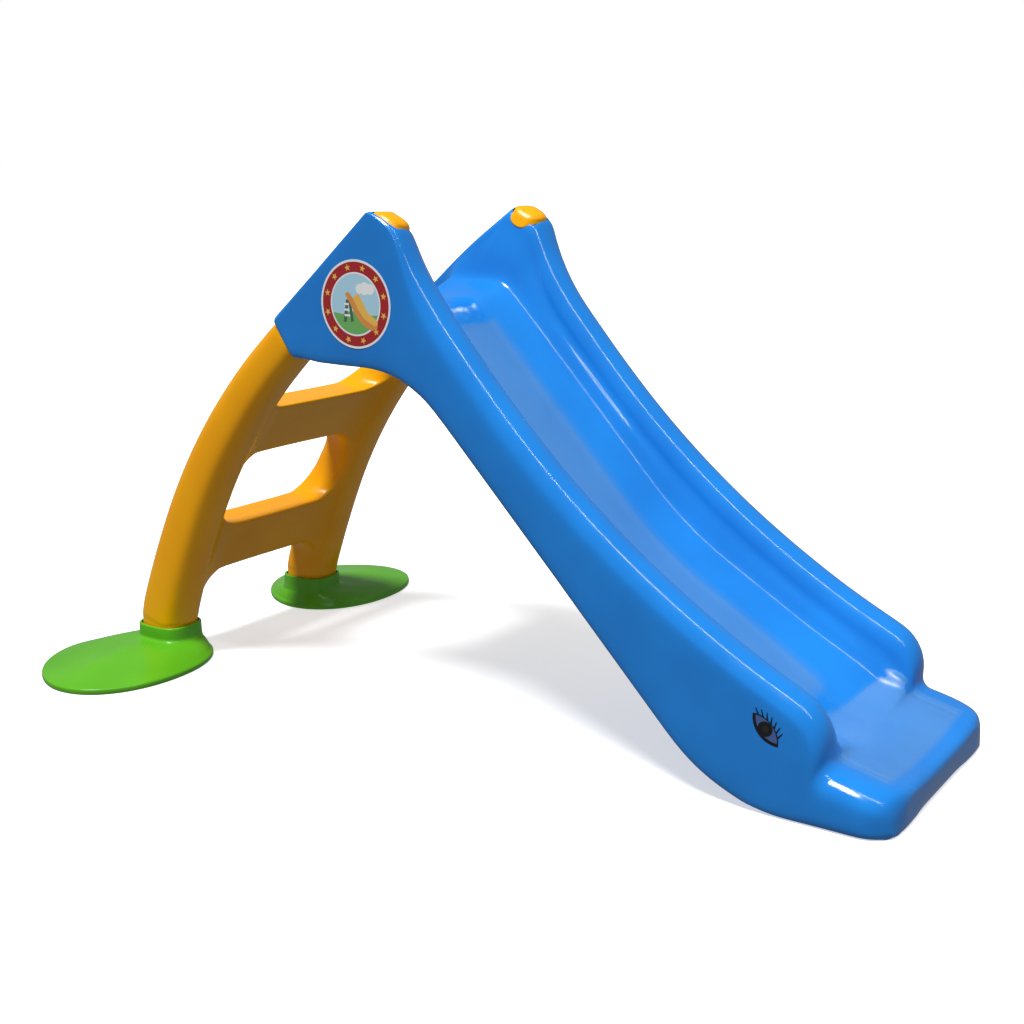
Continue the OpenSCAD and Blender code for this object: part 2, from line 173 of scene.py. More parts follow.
@dataclass
class Cage:
    """A control cage: points in millimetres, and faces."""

    points: list[Point3] = field(default_factory=list)
    faces: list[Loop] = field(default_factory=list)

    def add(self, points: Iterable[Point3]) -> int:
        """Adds points and returns the index of the first."""
        first = len(self.points)
        self.points.extend(points)
        return first

    def strip(
        self,
        first: int,
        n: int,
        rows: int,
        closed: bool = True,
        skip: Sequence[tuple[int, int, int, int]] = (),
    ) -> None:
        """Covers a grid of points with four-sided faces.

        Args:
            first: Index of the grid's first point.
            n: Points in a row.
            rows: Number of rows.
            closed: Whether each row closes on itself.
            skip: Windows left open, as (first row, last row, first column, last column).
        """
        for i in range(rows - 1):
            for j in range(n if closed else n - 1):
                if any(a <= i < b and c <= j < d for a, b, c, d in skip):
                    continue
                k = (j + 1) % n
                a, b = first + i * n, first + (i + 1) * n
                self.faces.append([a + j, b + j, b + k, a + k])

    def band(self, a: Loop, b: Loop, closed: bool = True) -> None:
        """Joins two loops of the same length with four-sided faces."""
        n = len(a)
        for k in range(n if closed else n - 1):
            m = (k + 1) % n
            self.faces.append([a[k], b[k], b[m], a[m]])

    def cap(self, loop: Loop, tip: Point3) -> None:
        """Closes a loop with a fan round one new point."""
        apex = self.add([tip])
        for k in range(len(loop)):
            self.faces.append([loop[k], loop[(k + 1) % len(loop)], apex])

    def build(self, name: str, levels: int, low: Point3, high: Point3, pull: float = 0.5) -> bpy.types.Object:
        """Makes the finished mesh object, smooth and close to the cage's own points.

        Smoothing draws a surface inside its cage, so the cage is first moved out by a share of what is lost.

        Args:
            name: Name of the object.
            levels: Levels of subdivision.
            low: Lowest corner that the piece may reach, in millimetres.
            high: Highest corner that it may reach.
            pull: Share of the loss that is made good.

        Returns:
            An object at the origin with its place in its mesh.
        """
        mesh = bpy.data.meshes.new(name)
        mesh.from_pydata([tuple(c * MM for c in p) for p in self.points], [], self.faces)
        bm = bmesh.new()
        bm.from_mesh(mesh)
        bmesh.ops.recalc_face_normals(bm, faces=bm.faces)
        bm.to_mesh(mesh)
        bm.free()
        obj = link(name, mesh)
        smooth = obj.modifiers.new("Smooth moulding", "SUBSURF")
        smooth.levels = levels
        smooth.render_levels = levels
        wanted = np.array(self.points) * MM
        cage = wanted.copy()
        bpy.context.view_layer.update()
        shown = obj.evaluated_get(bpy.context.evaluated_depsgraph_get()).data
        cage += pull * (wanted - coordinates(shown)[: len(wanted)])
        mesh.vertices.foreach_set("co", cage.astype(np.float32).ravel())
        mesh.update()
        obj.update_tag()
        obj = baked(obj)
        held = np.clip(coordinates(obj.data), np.array(low) * MM, np.array(high) * MM)
        obj.data.vertices.foreach_set("co", held.astype(np.float32).ravel())
        obj.data.polygons.foreach_set("use_smooth", [True] * len(obj.data.polygons))
        obj.data.update()
        return obj


def coordinates(mesh: bpy.types.Mesh) -> np.ndarray:
    """Returns the mesh's points as rows of x, y and z, in metres."""
    flat = np.empty(len(mesh.vertices) * 3, np.float32)
    mesh.vertices.foreach_get("co", flat)
    return flat.reshape(-1, 3).astype(float)


def link(name: str, data: bpy.types.ID) -> bpy.types.Object:
    """Returns a new object in the scene that shows a mesh, a light or a camera."""
    obj = bpy.data.objects.new(name, data)
    bpy.context.scene.collection.objects.link(obj)
    return obj


def baked(obj: bpy.types.Object) -> bpy.types.Object:
    """Replaces an object's mesh with the result of its modifiers, and removes them.

    Args:
        obj: Object with modifiers.

    Returns:
        The same object with a plain mesh.
    """
    bpy.context.view_layer.update()
    graph = bpy.context.evaluated_depsgraph_get()
    mesh = bpy.data.meshes.new_from_object(obj.evaluated_get(graph), depsgraph=graph)
    obj.modifiers.clear()
    old = obj.data
    obj.data = mesh
    if old.users == 0:
        bpy.data.meshes.remove(old)
    return obj


# ---------------------------------------------------------------- materials


def linear(hex_colour: str) -> tuple[float, float, float, float]:
    """Returns the linear colour of an sRGB hex value such as "#1f6fd0"."""
    parts = [int(hex_colour[i : i + 2], 16) / 255 for i in (1, 3, 5)]
    return (*[c / 12.92 if c <= 0.04045 else ((c + 0.055) / 1.055) ** 2.4 for c in parts], 1.0)


def add_node(
    tree: bpy.types.NodeTree, kind: str, settings: Optional[dict] = None, inputs: Optional[dict] = None
) -> bpy.types.Node:
    """Adds a node with its settings, values and links.

    Args:
        tree: Tree that takes the node.
        kind: Node type, such as "ShaderNodeBump".
        settings: Properties of the node.
        inputs: Socket name or index to a value, or to an output socket to link from.

    Returns:
        The new node.
    """
    node = tree.nodes.new(kind)
    for key, value in (settings or {}).items():
        setattr(node, key, value)
    for key, value in (inputs or {}).items():
        if isinstance(value, bpy.types.NodeSocket):
            tree.links.new(value, node.inputs[key])
        else:
            node.inputs[key].default_value = value
    return node


def blank_material(name: str) -> tuple[bpy.types.Material, bpy.types.NodeTree, bpy.types.NodeSocket]:
    """Returns a new material, its empty tree and the Object coordinates that its patterns follow."""
    mat = bpy.data.materials.new(name)
    mat.use_nodes = True
    tree = mat.node_tree
    tree.nodes.clear()
    return mat, tree, add_node(tree, "ShaderNodeTexCoord").outputs["Object"]


@dataclass(frozen=True)
class MouldedSkin:
    """The skin of a moulded polyolefin: pigmented all through, faintly uneven in gloss and tone.

    The mould leaves an orange peel a millimetre or two across, and cooling leaves the hollow walls gently
    wavy over a hand's width. blasted is the finish of the parts that the mould's blasted patches made: really
    duller, and with a lighter, greyer colour painted on as the sky's reflection.
    hair is how densely the sliding lines lie along X, Y and Z, per metre.
    """

    name: str
    colour: str
    deep: str
    roughness: float
    peel_mm: float
    peel_depth_mm: float
    wave_mm: float
    wave_depth_mm: float
    scratches: float = 0.0
    gloss: float = 0.5
    blasted: Optional["MouldedSkin"] = None
    cloud_mm: float = 140.0
    mark_mm: float = 22.0
    hair: Point3 = (6.0, 260.0, 6.0)

    def tone(self, tree: bpy.types.NodeTree, place: bpy.types.NodeSocket) -> bpy.types.NodeSocket:
        """Returns the colour, a shade deeper where the wall cooled slowly."""
        size = 1 / (self.cloud_mm * MM)
        slow = add_node(tree, "ShaderNodeTexNoise", None, {"Vector": place, "Scale": size, "Detail": 3.0})
        share = add_node(
            tree, "ShaderNodeMapRange", None, {"Value": slow.outputs["Fac"], "From Min": 0.3, "From Max": 0.7}
        )
        shades = {"Factor": share.outputs["Result"], 6: linear(self.deep), 7: linear(self.colour)}
        return add_node(tree, "ShaderNodeMix", {"data_type": "RGBA"}, shades).outputs[2]

    def dullness(self, tree: bpy.types.NodeTree, place: bpy.types.NodeSocket) -> bpy.types.NodeSocket:
        """Returns the roughness, with handling marks and, where things slide, fine lines down the slope."""
        size = 1 / (self.mark_mm * MM)
        marks = add_node(tree, "ShaderNodeTexNoise", None, {"Vector": place, "Scale": size, "Detail": 5.0})
        spread = {
            "Value": marks.outputs["Fac"], "From Min": 0.3, "From Max": 0.7,
            "To Min": self.roughness - 0.03, "To Max": self.roughness + 0.04,
        }
        rough = add_node(tree, "ShaderNodeMapRange", None, spread).outputs["Result"]
        if not self.scratches:
            return rough
        drawn = add_node(tree, "ShaderNodeMapping", None, {"Vector": place, "Scale": self.hair})
        pattern = {"Vector": drawn.outputs["Vector"], "Scale": 1.0, "Detail": 4.0}
        lines = add_node(tree, "ShaderNodeTexNoise", None, pattern)
        depth = {"Value": lines.outputs["Fac"], "From Min": 0.55, "From Max": 0.75, "To Max": self.scratches}
        worn = add_node(tree, "ShaderNodeMapRange", None, depth).outputs["Result"]
        return add_node(tree, "ShaderNodeMath", {"operation": "ADD"}, {0: rough, 1: worn}).outputs["Value"]

    def relief(self, tree: bpy.types.NodeTree, place: bpy.types.NodeSocket) -> bpy.types.NodeSocket:
        """Returns the normal: slow waves of the wall under the fine peel of the mould."""
        normal: Optional[bpy.types.NodeSocket] = None
        for size, depth in ((self.wave_mm, self.wave_depth_mm), (self.peel_mm, self.peel_depth_mm)):
            pattern = {"Vector": place, "Scale": 1 / (size * MM), "Detail": 1.0}
            grain = add_node(tree, "ShaderNodeTexNoise", None, pattern)
            inputs = {"Height": grain.outputs["Fac"], "Strength": 1.0, "Distance": depth * MM}
            if normal:
                inputs["Normal"] = normal
            normal = add_node(tree, "ShaderNodeBump", None, inputs).outputs["Normal"]
        return normal

    def material(self) -> bpy.types.Material:
        """Returns the node material of this finish."""
        mat, tree, place = blank_material(self.name)
        colour, rough = self.tone(tree, place), self.dullness(tree, place)
        # Where the attribute marks the bed, the bed's finish is mixed in: its duller roughness is real, and
        # its lighter, greyer colour is a painted sky reflection.
        if self.blasted:
            where = add_node(tree, "ShaderNodeAttribute", {"attribute_name": "blasted"}).outputs["Fac"]
            colours = {"Factor": where, 6: colour, 7: self.blasted.tone(tree, place)}
            colour = add_node(tree, "ShaderNodeMix", {"data_type": "RGBA"}, colours).outputs[2]
            finishes = {"Factor": where, 2: rough, 3: self.blasted.dullness(tree, place)}
            rough = add_node(tree, "ShaderNodeMix", None, finishes).outputs[0]
        surface = {
            "Base Color": colour, "Roughness": rough, "Normal": self.relief(tree, place), "IOR": 1.52,
            "Specular IOR Level": self.gloss,
        }
        shader = add_node(tree, "ShaderNodeBsdfPrincipled", None, surface)
        add_node(tree, "ShaderNodeOutputMaterial", None, {"Surface": shader.outputs["BSDF"]})
        return mat


@dataclass(frozen=True)
class PrintedFilm:
    """Ink on self-adhesive vinyl film under a clear gloss layer: flat colour with a faint screen of dots."""

    name: str
    colour: str
    dot_mm: float = 1.2
    screen: float = 0.08
    mark_mm: float = 12.0

    def material(self) -> bpy.types.Material:
        """Returns the node material of this finish."""
        mat, tree, place = blank_material(self.name)
        size = 1 / (self.dot_mm * MM)
        dots = add_node(tree, "ShaderNodeTexVoronoi", None, {"Vector": place, "Scale": size})
        spread = {"Value": dots.outputs["Distance"], "From Max": 0.6, "To Min": 0.0, "To Max": self.screen}
        screen = add_node(tree, "ShaderNodeMapRange", None, spread).outputs["Result"]
        tones = {"Factor": screen, 6: linear(self.colour), 7: (0.9, 0.9, 0.9, 1.0)}
        body = add_node(tree, "ShaderNodeMix", {"data_type": "RGBA"}, tones).outputs[2]
        dull = add_node(tree, "ShaderNodeTexNoise", None, {"Vector": place, "Scale": 1 / (self.mark_mm * MM)})
        spread = {"Value": dull.outputs["Fac"], "To Min": 0.22, "To Max": 0.38}
        rough = add_node(tree, "ShaderNodeMapRange", None, spread).outputs["Result"]
        surface = {"Base Color": body, "Roughness": rough, "IOR": 1.5}
        shader = add_node(tree, "ShaderNodeBsdfPrincipled", None, surface)
        add_node(tree, "ShaderNodeOutputMaterial", None, {"Surface": shader.outputs["BSDF"]})
        return mat


# The chute's plastic where the tool was blasted and clothes slide: duller and lined along the slope, and
# painted lighter and greyer than the shell, which stands in for the sky's reflection on the bed
BLUE_BED_PAINTED_SHEEN = MouldedSkin(
    "blasted_hdpe_bed_blue", "#4a8cd2", "#4484ca", 0.36, 1.4, 0.02, 60.0, 0.12, scratches=0.10
)
# Blow-moulded high-density polyethylene from a polished tool: bright sky blue, thin sharp highlights
BLUE_SHELL = MouldedSkin(
    "blow_moulded_hdpe_blue", "#1988e4", "#177dd6", 0.13, 1.8, 0.005, 80.0, 0.20, blasted=BLUE_BED_PAINTED_SHEEN
)
# Blow-moulded high-density polyethylene, golden yellow that turns brown in its own shade
YELLOW_RAIL = MouldedSkin(
    "blow_moulded_hdpe_yellow", "#ffb300", "#f9a800", 0.24, 1.8, 0.006, 70.0, 0.20, gloss=0.3
)
# Injection-moulded polypropylene: fresh green with a sharper gloss
GREEN_FOOT = MouldedSkin(
    "injection_moulded_pp_green", "#62b822", "#56aa1b", 0.24, 1.4, 0.005, 50.0, 0.12, gloss=0.4
)
FILM_WHITE = PrintedFilm("printed_vinyl_white", "#f2f2f4")
FILM_RED = PrintedFilm("printed_vinyl_red", "#a80a18", screen=0.02)
FILM_SKY = PrintedFilm("printed_vinyl_sky", "#a9d7ec")
FILM_GRASS = PrintedFilm("printed_vinyl_grass", "#5fae4c")
FILM_ORANGE = PrintedFilm("printed_vinyl_orange", "#df8a1e")
FILM_GREEN = PrintedFilm("printed_vinyl_dark_green", "#0f5a3c")
FILM_GOLD = PrintedFilm("printed_vinyl_gold", "#f0b93a")
FILM_BLACK = PrintedFilm("printed_vinyl_black", "#05070f", screen=0.0)
FILM_BROWN = PrintedFilm("printed_vinyl_iris", "#241c14", screen=0.0)
FILM_MIST = PrintedFilm("printed_vinyl_grey_blue", "#3a5a98", screen=0.02)


# ---------------------------------------------------------------- chute


@dataclass
class Rib:
    """One section across the chute, measured from its crest along a line to the underside."""

    crest: Point2
    line: Point2
    length: float
    radius: float
    outer_radius: float
    tuck: float
    bed: float
    under: float
    on_bed: bool


@dataclass
class Chute:
    """The one-piece hollow chute with its two side walls, bed and toe.

    Each row of rib_rows is (distance along the crest, distance along the belly, ribs from here to the next
    row). hole is the opening at a wing's peak, as (first rib, last rib, first and last point of the ring).
    bow_shares says how far each point of the ledge follows the crease's curve. The round_ pairs say where
    along the crest its corners grow to a full half round, and the tuck_ pairs where the tuck comes and goes.
    """

    half: float = 210.0
    wall_half: float = 35.0
    skin: float = 3.0
    peak_tuck: float = 8.0
    bed_skin: float = 6.0
    bed_flat: float = 62.0
    ledge_rise: float = 20.0
    landing_z: float = 600.0
    toe_x: float = 650.0
    toe_corner: float = 50.0
    landing_rib: int = 4
    reach: float = 699.4
    top_z: float = 740.6
    strip_x: float = -74.0
    crease_x: float = 530.0
    crease_bow: float = 30.0
    crease_s: float = 1003.0
    crease_reach: float = 60.0
    plate_end_x: float = 676.0
    plate_half: float = 158.0
    facing_up: float = 0.55
    bow_shares: tuple[float, ...] = (1.0, 0.9, 0.5)
    corner: float = 10.0
    round_in: Point2 = (120.0, 240.0)
    round_out: Point2 = (250.0, 430.0)
    tuck_on: Point2 = (200.0, 250.0)
    tuck_off: Point2 = (420.0, 300.0)
    ledge_drop: float = 18.0
    bed_reach: float = 1180.0
    ring_n: int = 19
    levels: int = 2
    hole: tuple[int, int, int, int] = (9, 11, 6, 9)
    crest: Track = Track(
        (-284, 582),
        41.3,
        (
            (240, 0), (10, -67.3), (30, 0), (28, -44), (55, 12), (97, 9.3), (75, 0), (480, 18.7),
            (130, 5), (86, -74), (26, 88), (52.4, -4), (17.5, 0), (27.6, -79), (32, 0),
        ),
    )
    belly: Track = Track((-245, 523), -1.5, ((135, 0), (135, -44.3), (550, 0), (193.5, 45.8), (130, 0)))
    rib_rows: tuple[tuple[float, float, int], ...] = (
        (0, 0, 4), (112, 22, 3), (236, 46, 1), (240, 48, 1), (245, 52, 2), (295, 98, 1), (313, 117, 4),
        (462, 200, 2),
        (537, 276, 2), (700, 448, 4), (1017, 796, 3), (1147, 942, 5), (1233, 1010, 4), (1259, 1050, 2),
        (1311, 1094, 1), (1327, 1104, 3), (1355, 1122, 1), (1371, 1129, 1), (1386, 1134, 0),
    )

    def __post_init__(self) -> None:
        """Works out the bed's track and the ribs' places."""
        self.bed = Track(
            (-262, self.landing_z),
            0,
            ((134, 0), (50, -46.5), (395, 0), (120, 16), (293, 0), (22, 23), (150, 0)),
        )
        self.wall_y = self.half - self.wall_half
        places: list[Point2] = []
        for a, b in zip(self.rib_rows, self.rib_rows[1:]):
            places += [(mix(a[0], b[0], i / a[2]), mix(a[1], b[1], i / a[2])) for i in range(a[2])]
        places.append(self.rib_rows[-1][:2])
        self.ribs = [self.rib(i, p, len(places)) for i, p in enumerate(places)]

    def bed_depth(self, p: Point2, d: Point2) -> float:
        """Returns how far along d from p the bed's track is crossed."""
        x, z = self.bed.crossing(lambda x, z: d[0] * (z - p[1]) - d[1] * (x - p[0]) > 0, self.bed_reach)
        return (x - p[0]) * d[0] + (z - p[1]) * d[1]

    def rib(self, index: int, place: Point2, count: int) -> Rib:
        """Returns one section.

        Args:
            index: Number of the rib from the back edge.
            place: Distances along the crest and along the belly.
            count: How many ribs there are.
        """
        p, q = self.crest.at(place[0]), self.belly.at(place[1])
        length = math.dist(p, q)
        d = ((q[0] - p[0]) / length, (q[1] - p[1]) / length)
        on = index >= self.landing_rib
        bed = clamp(self.bed_depth(p, d), 2.5, length - 3) if on else 0.7 * length
        closed = index == self.landing_rib or index >= count - 4
        under = (length - 1 if closed else min(bed + self.bed_skin, length - 1)) if on else 0.8 * length
        s = place[0]
        radius = mix(self.corner, self.wall_half, ramp(s, *self.round_in))
        outer = mix(self.corner, self.wall_half, ramp(s, *self.round_out))
        tuck = self.peak_tuck * ramp(s, *self.tuck_on) * ramp(s, *self.tuck_off)
        return Rib(p, d, length, radius, outer, tuck, bed, under, on)

    def ring(self, foot_y: Sequence[float], in_y: float, out_y: float, top: float, bottom: float,
             radii: Point2, tuck: float, ledge: float, under: float) -> list[Point2]:
        """Returns one ring round a side wall as (y, depth) pairs.

        Args:
            foot_y: Y of the ledge's three points and of the underside's two.
            in_y: Y of the wall's inner face.
            out_y: Y of its outer face.
            top: Depth of the crest.
            bottom: Depth of the underside.
            radii: Radii of the crest's inner and outer corners.
            tuck: How far the crest's inner corner stands back from the inner face.
            ledge: Depth of the ledge.
            under: Depth of the last point, under the bed.
        """
        r, s = radii
        ri, ro = min(r, 0.55 * (ledge - top)), min(s, 0.45 * (bottom - top))
        drop = min(self.ledge_drop, 0.4 * (ledge - top))
        rising = (0, 22.5, 45, 67.5)
        inner = in_y + tuck
        return [
            (foot_y[0], ledge), (foot_y[1], ledge - drop / 3), (foot_y[2], ledge - drop),
            ((foot_y[2] + in_y) / 2, (ledge - drop + top + ri) / 2),
            *[(inner + r * (1 - cosd(a)), top + ri * (1 - sind(a))) for a in rising],
            ((inner + r + out_y - s) / 2, top),
            *[(out_y - s * (1 - cosd(a)), top + ro * (1 - sind(a))) for a in reversed(rising)],
            (out_y, bottom - 12), (out_y - 3.5, bottom - 3.5), (out_y - 12, bottom),
            (mix(in_y, out_y, 0.45), bottom), (foot_y[3], bottom), (foot_y[4], under),
        ]

    def skin_ring(self, m: Rib) -> list[Point2]:
        """Returns the outer ring of a rib."""
        rise = min(self.ledge_rise, 0.55 * m.bed) if m.on_bed else 0
        in_y = self.wall_y - self.wall_half
        feet = [in_y - k for k in (30, 18, 11, 3, 14)] if m.on_bed else [in_y - 6] * 5
        radii = (m.radius, m.outer_radius)
        return self.ring(feet, in_y, self.half, 0, m.length, radii, m.tuck, m.bed - rise, m.under)

    def hollow_ring(self, m: Rib) -> list[Point2]:
        """Returns the ring of a rib's hollow, one skin inside the outer ring."""
        in_y = self.wall_y - self.wall_half + self.skin
        depth = clamp(m.bed * 0.8, 0.3 * m.length, 0.75 * m.length)
        low = m.length - self.skin
        radii = (m.radius - self.skin + 2, max(m.outer_radius - self.skin, 8))
        return self.ring([in_y - (7 if m.on_bed else 2)] * 5, in_y, self.half - self.skin, self.skin, low,
                         radii, m.tuck, depth, mix(depth, low, 0.5))

    def toe_scale(self, x: float) -> float:
        """Returns how much the toe's rounded corners narrow the chute at x."""
        if x <= self.toe_x:
            return 1.0
        corner = math.sqrt(max(self.toe_corner**2 - (x - self.toe_x) ** 2, 9))
        return (self.half - self.toe_corner + corner) / self.half

    def place(self, m: Rib, yd: Point2, side: int) -> Point3:
        """Returns the point of a rib at (y, depth) on one side."""
        x, z = m.crest[0] + m.line[0] * yd[1], m.crest[1] + m.line[1] * yd[1]
        return (x, side * yd[0] * self.toe_scale(x), max(z, 0.0))

    def crease_at(self, y: float) -> float:
        """Returns the X of the curved crease between the bed and the toe plate, at y."""
        return self.crease_x + self.crease_bow * (y / 121) ** 2

    def bed_z(self, x: float) -> float:
        """Returns the height of the bed's track at x."""
        return self.bed.crossing(lambda at, _: at > x, self.bed_reach)[1]

    def bow(self, p: Point3, share: float = 1.0) -> Point3:
        """Returns a point of the bed moved so that the crease runs in its curve."""
        x, y, z = p
        away = self.bed.at(self.crease_s)[0] - self.crease_at(y)
        near = ease(1 - abs(x - self.crease_at(y)) / (2 * self.crease_reach))
        return (x, y, z + share * near * (self.bed_z(x + away) - self.bed_z(x)))

    def mark_bed_dull_and_sheen(self, obj: bpy.types.Object) -> None:
        """Marks where the bed's finish goes: duller, and painted lighter and greyer as the sky's reflection,
        on the flat strip and the toe plate.

        Args:
            obj: The chute, which gets an attribute named blasted on its points.
        """
        mesh = obj.data
        co = coordinates(mesh) / MM
        normal = np.empty(co.size, np.float32)
        mesh.vertices.foreach_get("normal", normal)
        values = []
        for (x, y, _), (_, _, up) in zip(co, normal.reshape(-1, 3)):
            y = abs(float(y))
            crease = self.crease_at(y)
            plate = ramp(x, crease - 4, crease + 4) * ramp(y, self.plate_half, self.plate_half - 10)
            strip = ramp(y, self.bed_flat + 4, self.bed_flat) * ramp(x, self.strip_x, self.strip_x + 6)
            strip *= ramp(x, self.crease_x - 18, self.crease_x - 38)
            # Only points that face up take it, so the painted sky reflection lies on the bed's top and not on
            # its underside or walls.
            shown = max(plate, strip) if up > self.facing_up else 0.0
            values.append(shown * ramp(x, self.plate_end_x + 4, self.plate_end_x - 8))
        mesh.attributes.new("blasted", "FLOAT", "POINT").data.foreach_set("value", values)

    def build(self) -> bpy.types.Object:
        """Returns the finished chute."""
        cage = Cage()
        n, ribs = self.ring_n, self.ribs
        last_hollow = len(ribs) - 5
        bed_ribs = ribs[self.landing_rib :]
        columns = [self.bed_flat, self.bed_flat / 2, 0, -self.bed_flat / 2, -self.bed_flat]
        tops = cage.add(self.bow(self.place(m, (y, m.bed), 1)) for m in bed_ribs for y in columns)
        unders = cage.add(self.place(m, (y, m.under), 1) for m in bed_ribs for y in columns)
        skins: dict[int, int] = {}
        for side in (1, -1):
            skin = skins[side] = cage.add(self.place(m, yd, side) for m in ribs for yd in self.skin_ring(m))
            for row in range(self.landing_rib, len(ribs)):
                for column, share in enumerate(self.bow_shares):
                    at = skin + row * n + column
                    cage.points[at] = self.bow(cage.points[at], share)
            hollow = cage.add(
                self.place(m, yd, side) for m in ribs[: last_hollow + 1] for yd in self.hollow_ring(m)
            )
            ahead = self.landing_rib
            cage.strip(skin, n, len(ribs), skip=(self.hole, (ahead, len(ribs), n - 1, n)))
            cage.strip(hollow, n, last_hollow + 1, skip=(self.hole,))
            cage.band(self.ring_loop(skin, 0), self.ring_loop(hollow, 0))
            cage.band(self.hole_edge(skin), self.hole_edge(hollow))
            end = self.ring_loop(hollow, last_hollow)
            cage.cap(end, self.middle(cage, end))
            tip = self.ring_loop(skin, len(ribs) - 1)
            cage.cap(tip, self.middle(cage, tip))

        def across(first: int, k: int, j: int) -> Loop:
            """Returns one row across the bed, from ring point j on the left to the same on the right."""
            at = (k + self.landing_rib) * n + j
            return [skins[1] + at, *range(first + k * 5, first + k * 5 + 5), skins[-1] + at]

        rows = len(bed_ribs)
        for k in range(rows - 1):
            a, b = across(tops, k, 0), across(tops, k + 1, 0)
            cage.band(a, b, closed=False)
            cage.band(across(unders, k, n - 1), across(unders, k + 1, n - 1), closed=False)
        cage.band(across(tops, 0, 0), across(unders, 0, n - 1), closed=False)
        cage.band(across(tops, rows - 1, 0), across(unders, rows - 1, n - 1), closed=False)
        high = (self.reach, self.half, self.top_z)
        obj = cage.build("chute_shell", self.levels, (-self.reach, -self.half, 0.0), high)
        self.mark_bed_dull_and_sheen(obj)
        obj.data.materials.append(BLUE_SHELL.material())
        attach(obj, "chute_body")
        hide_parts("chute")
        return obj

    def ring_loop(self, first: int, row: int) -> Loop:
        """Returns the indices of one ring."""
        return list(range(first + row * self.ring_n, first + (row + 1) * self.ring_n))

    def hole_edge(self, first: int) -> Loop:
        """Returns the indices once round the opening at a wing's peak."""
        a, b, c, d = self.hole
        n = self.ring_n
        return (
            [first + i * n + c for i in range(a, b + 1)]
            + [first + b * n + j for j in range(c + 1, d + 1)]
            + [first + i * n + d for i in range(b - 1, a - 1, -1)]
            + [first + a * n + j for j in range(d - 1, c, -1)]
        )

    @staticmethod
    def middle(cage: Cage, loop: Loop) -> Point3:
        """Returns the mean of a loop's points."""
        pts = [cage.points[i] for i in loop]
        return tuple(sum(p[a] for p in pts) / len(pts) for a in range(3))


# ---------------------------------------------------------------- ladder

Station = tuple[float, float, float, float, int]


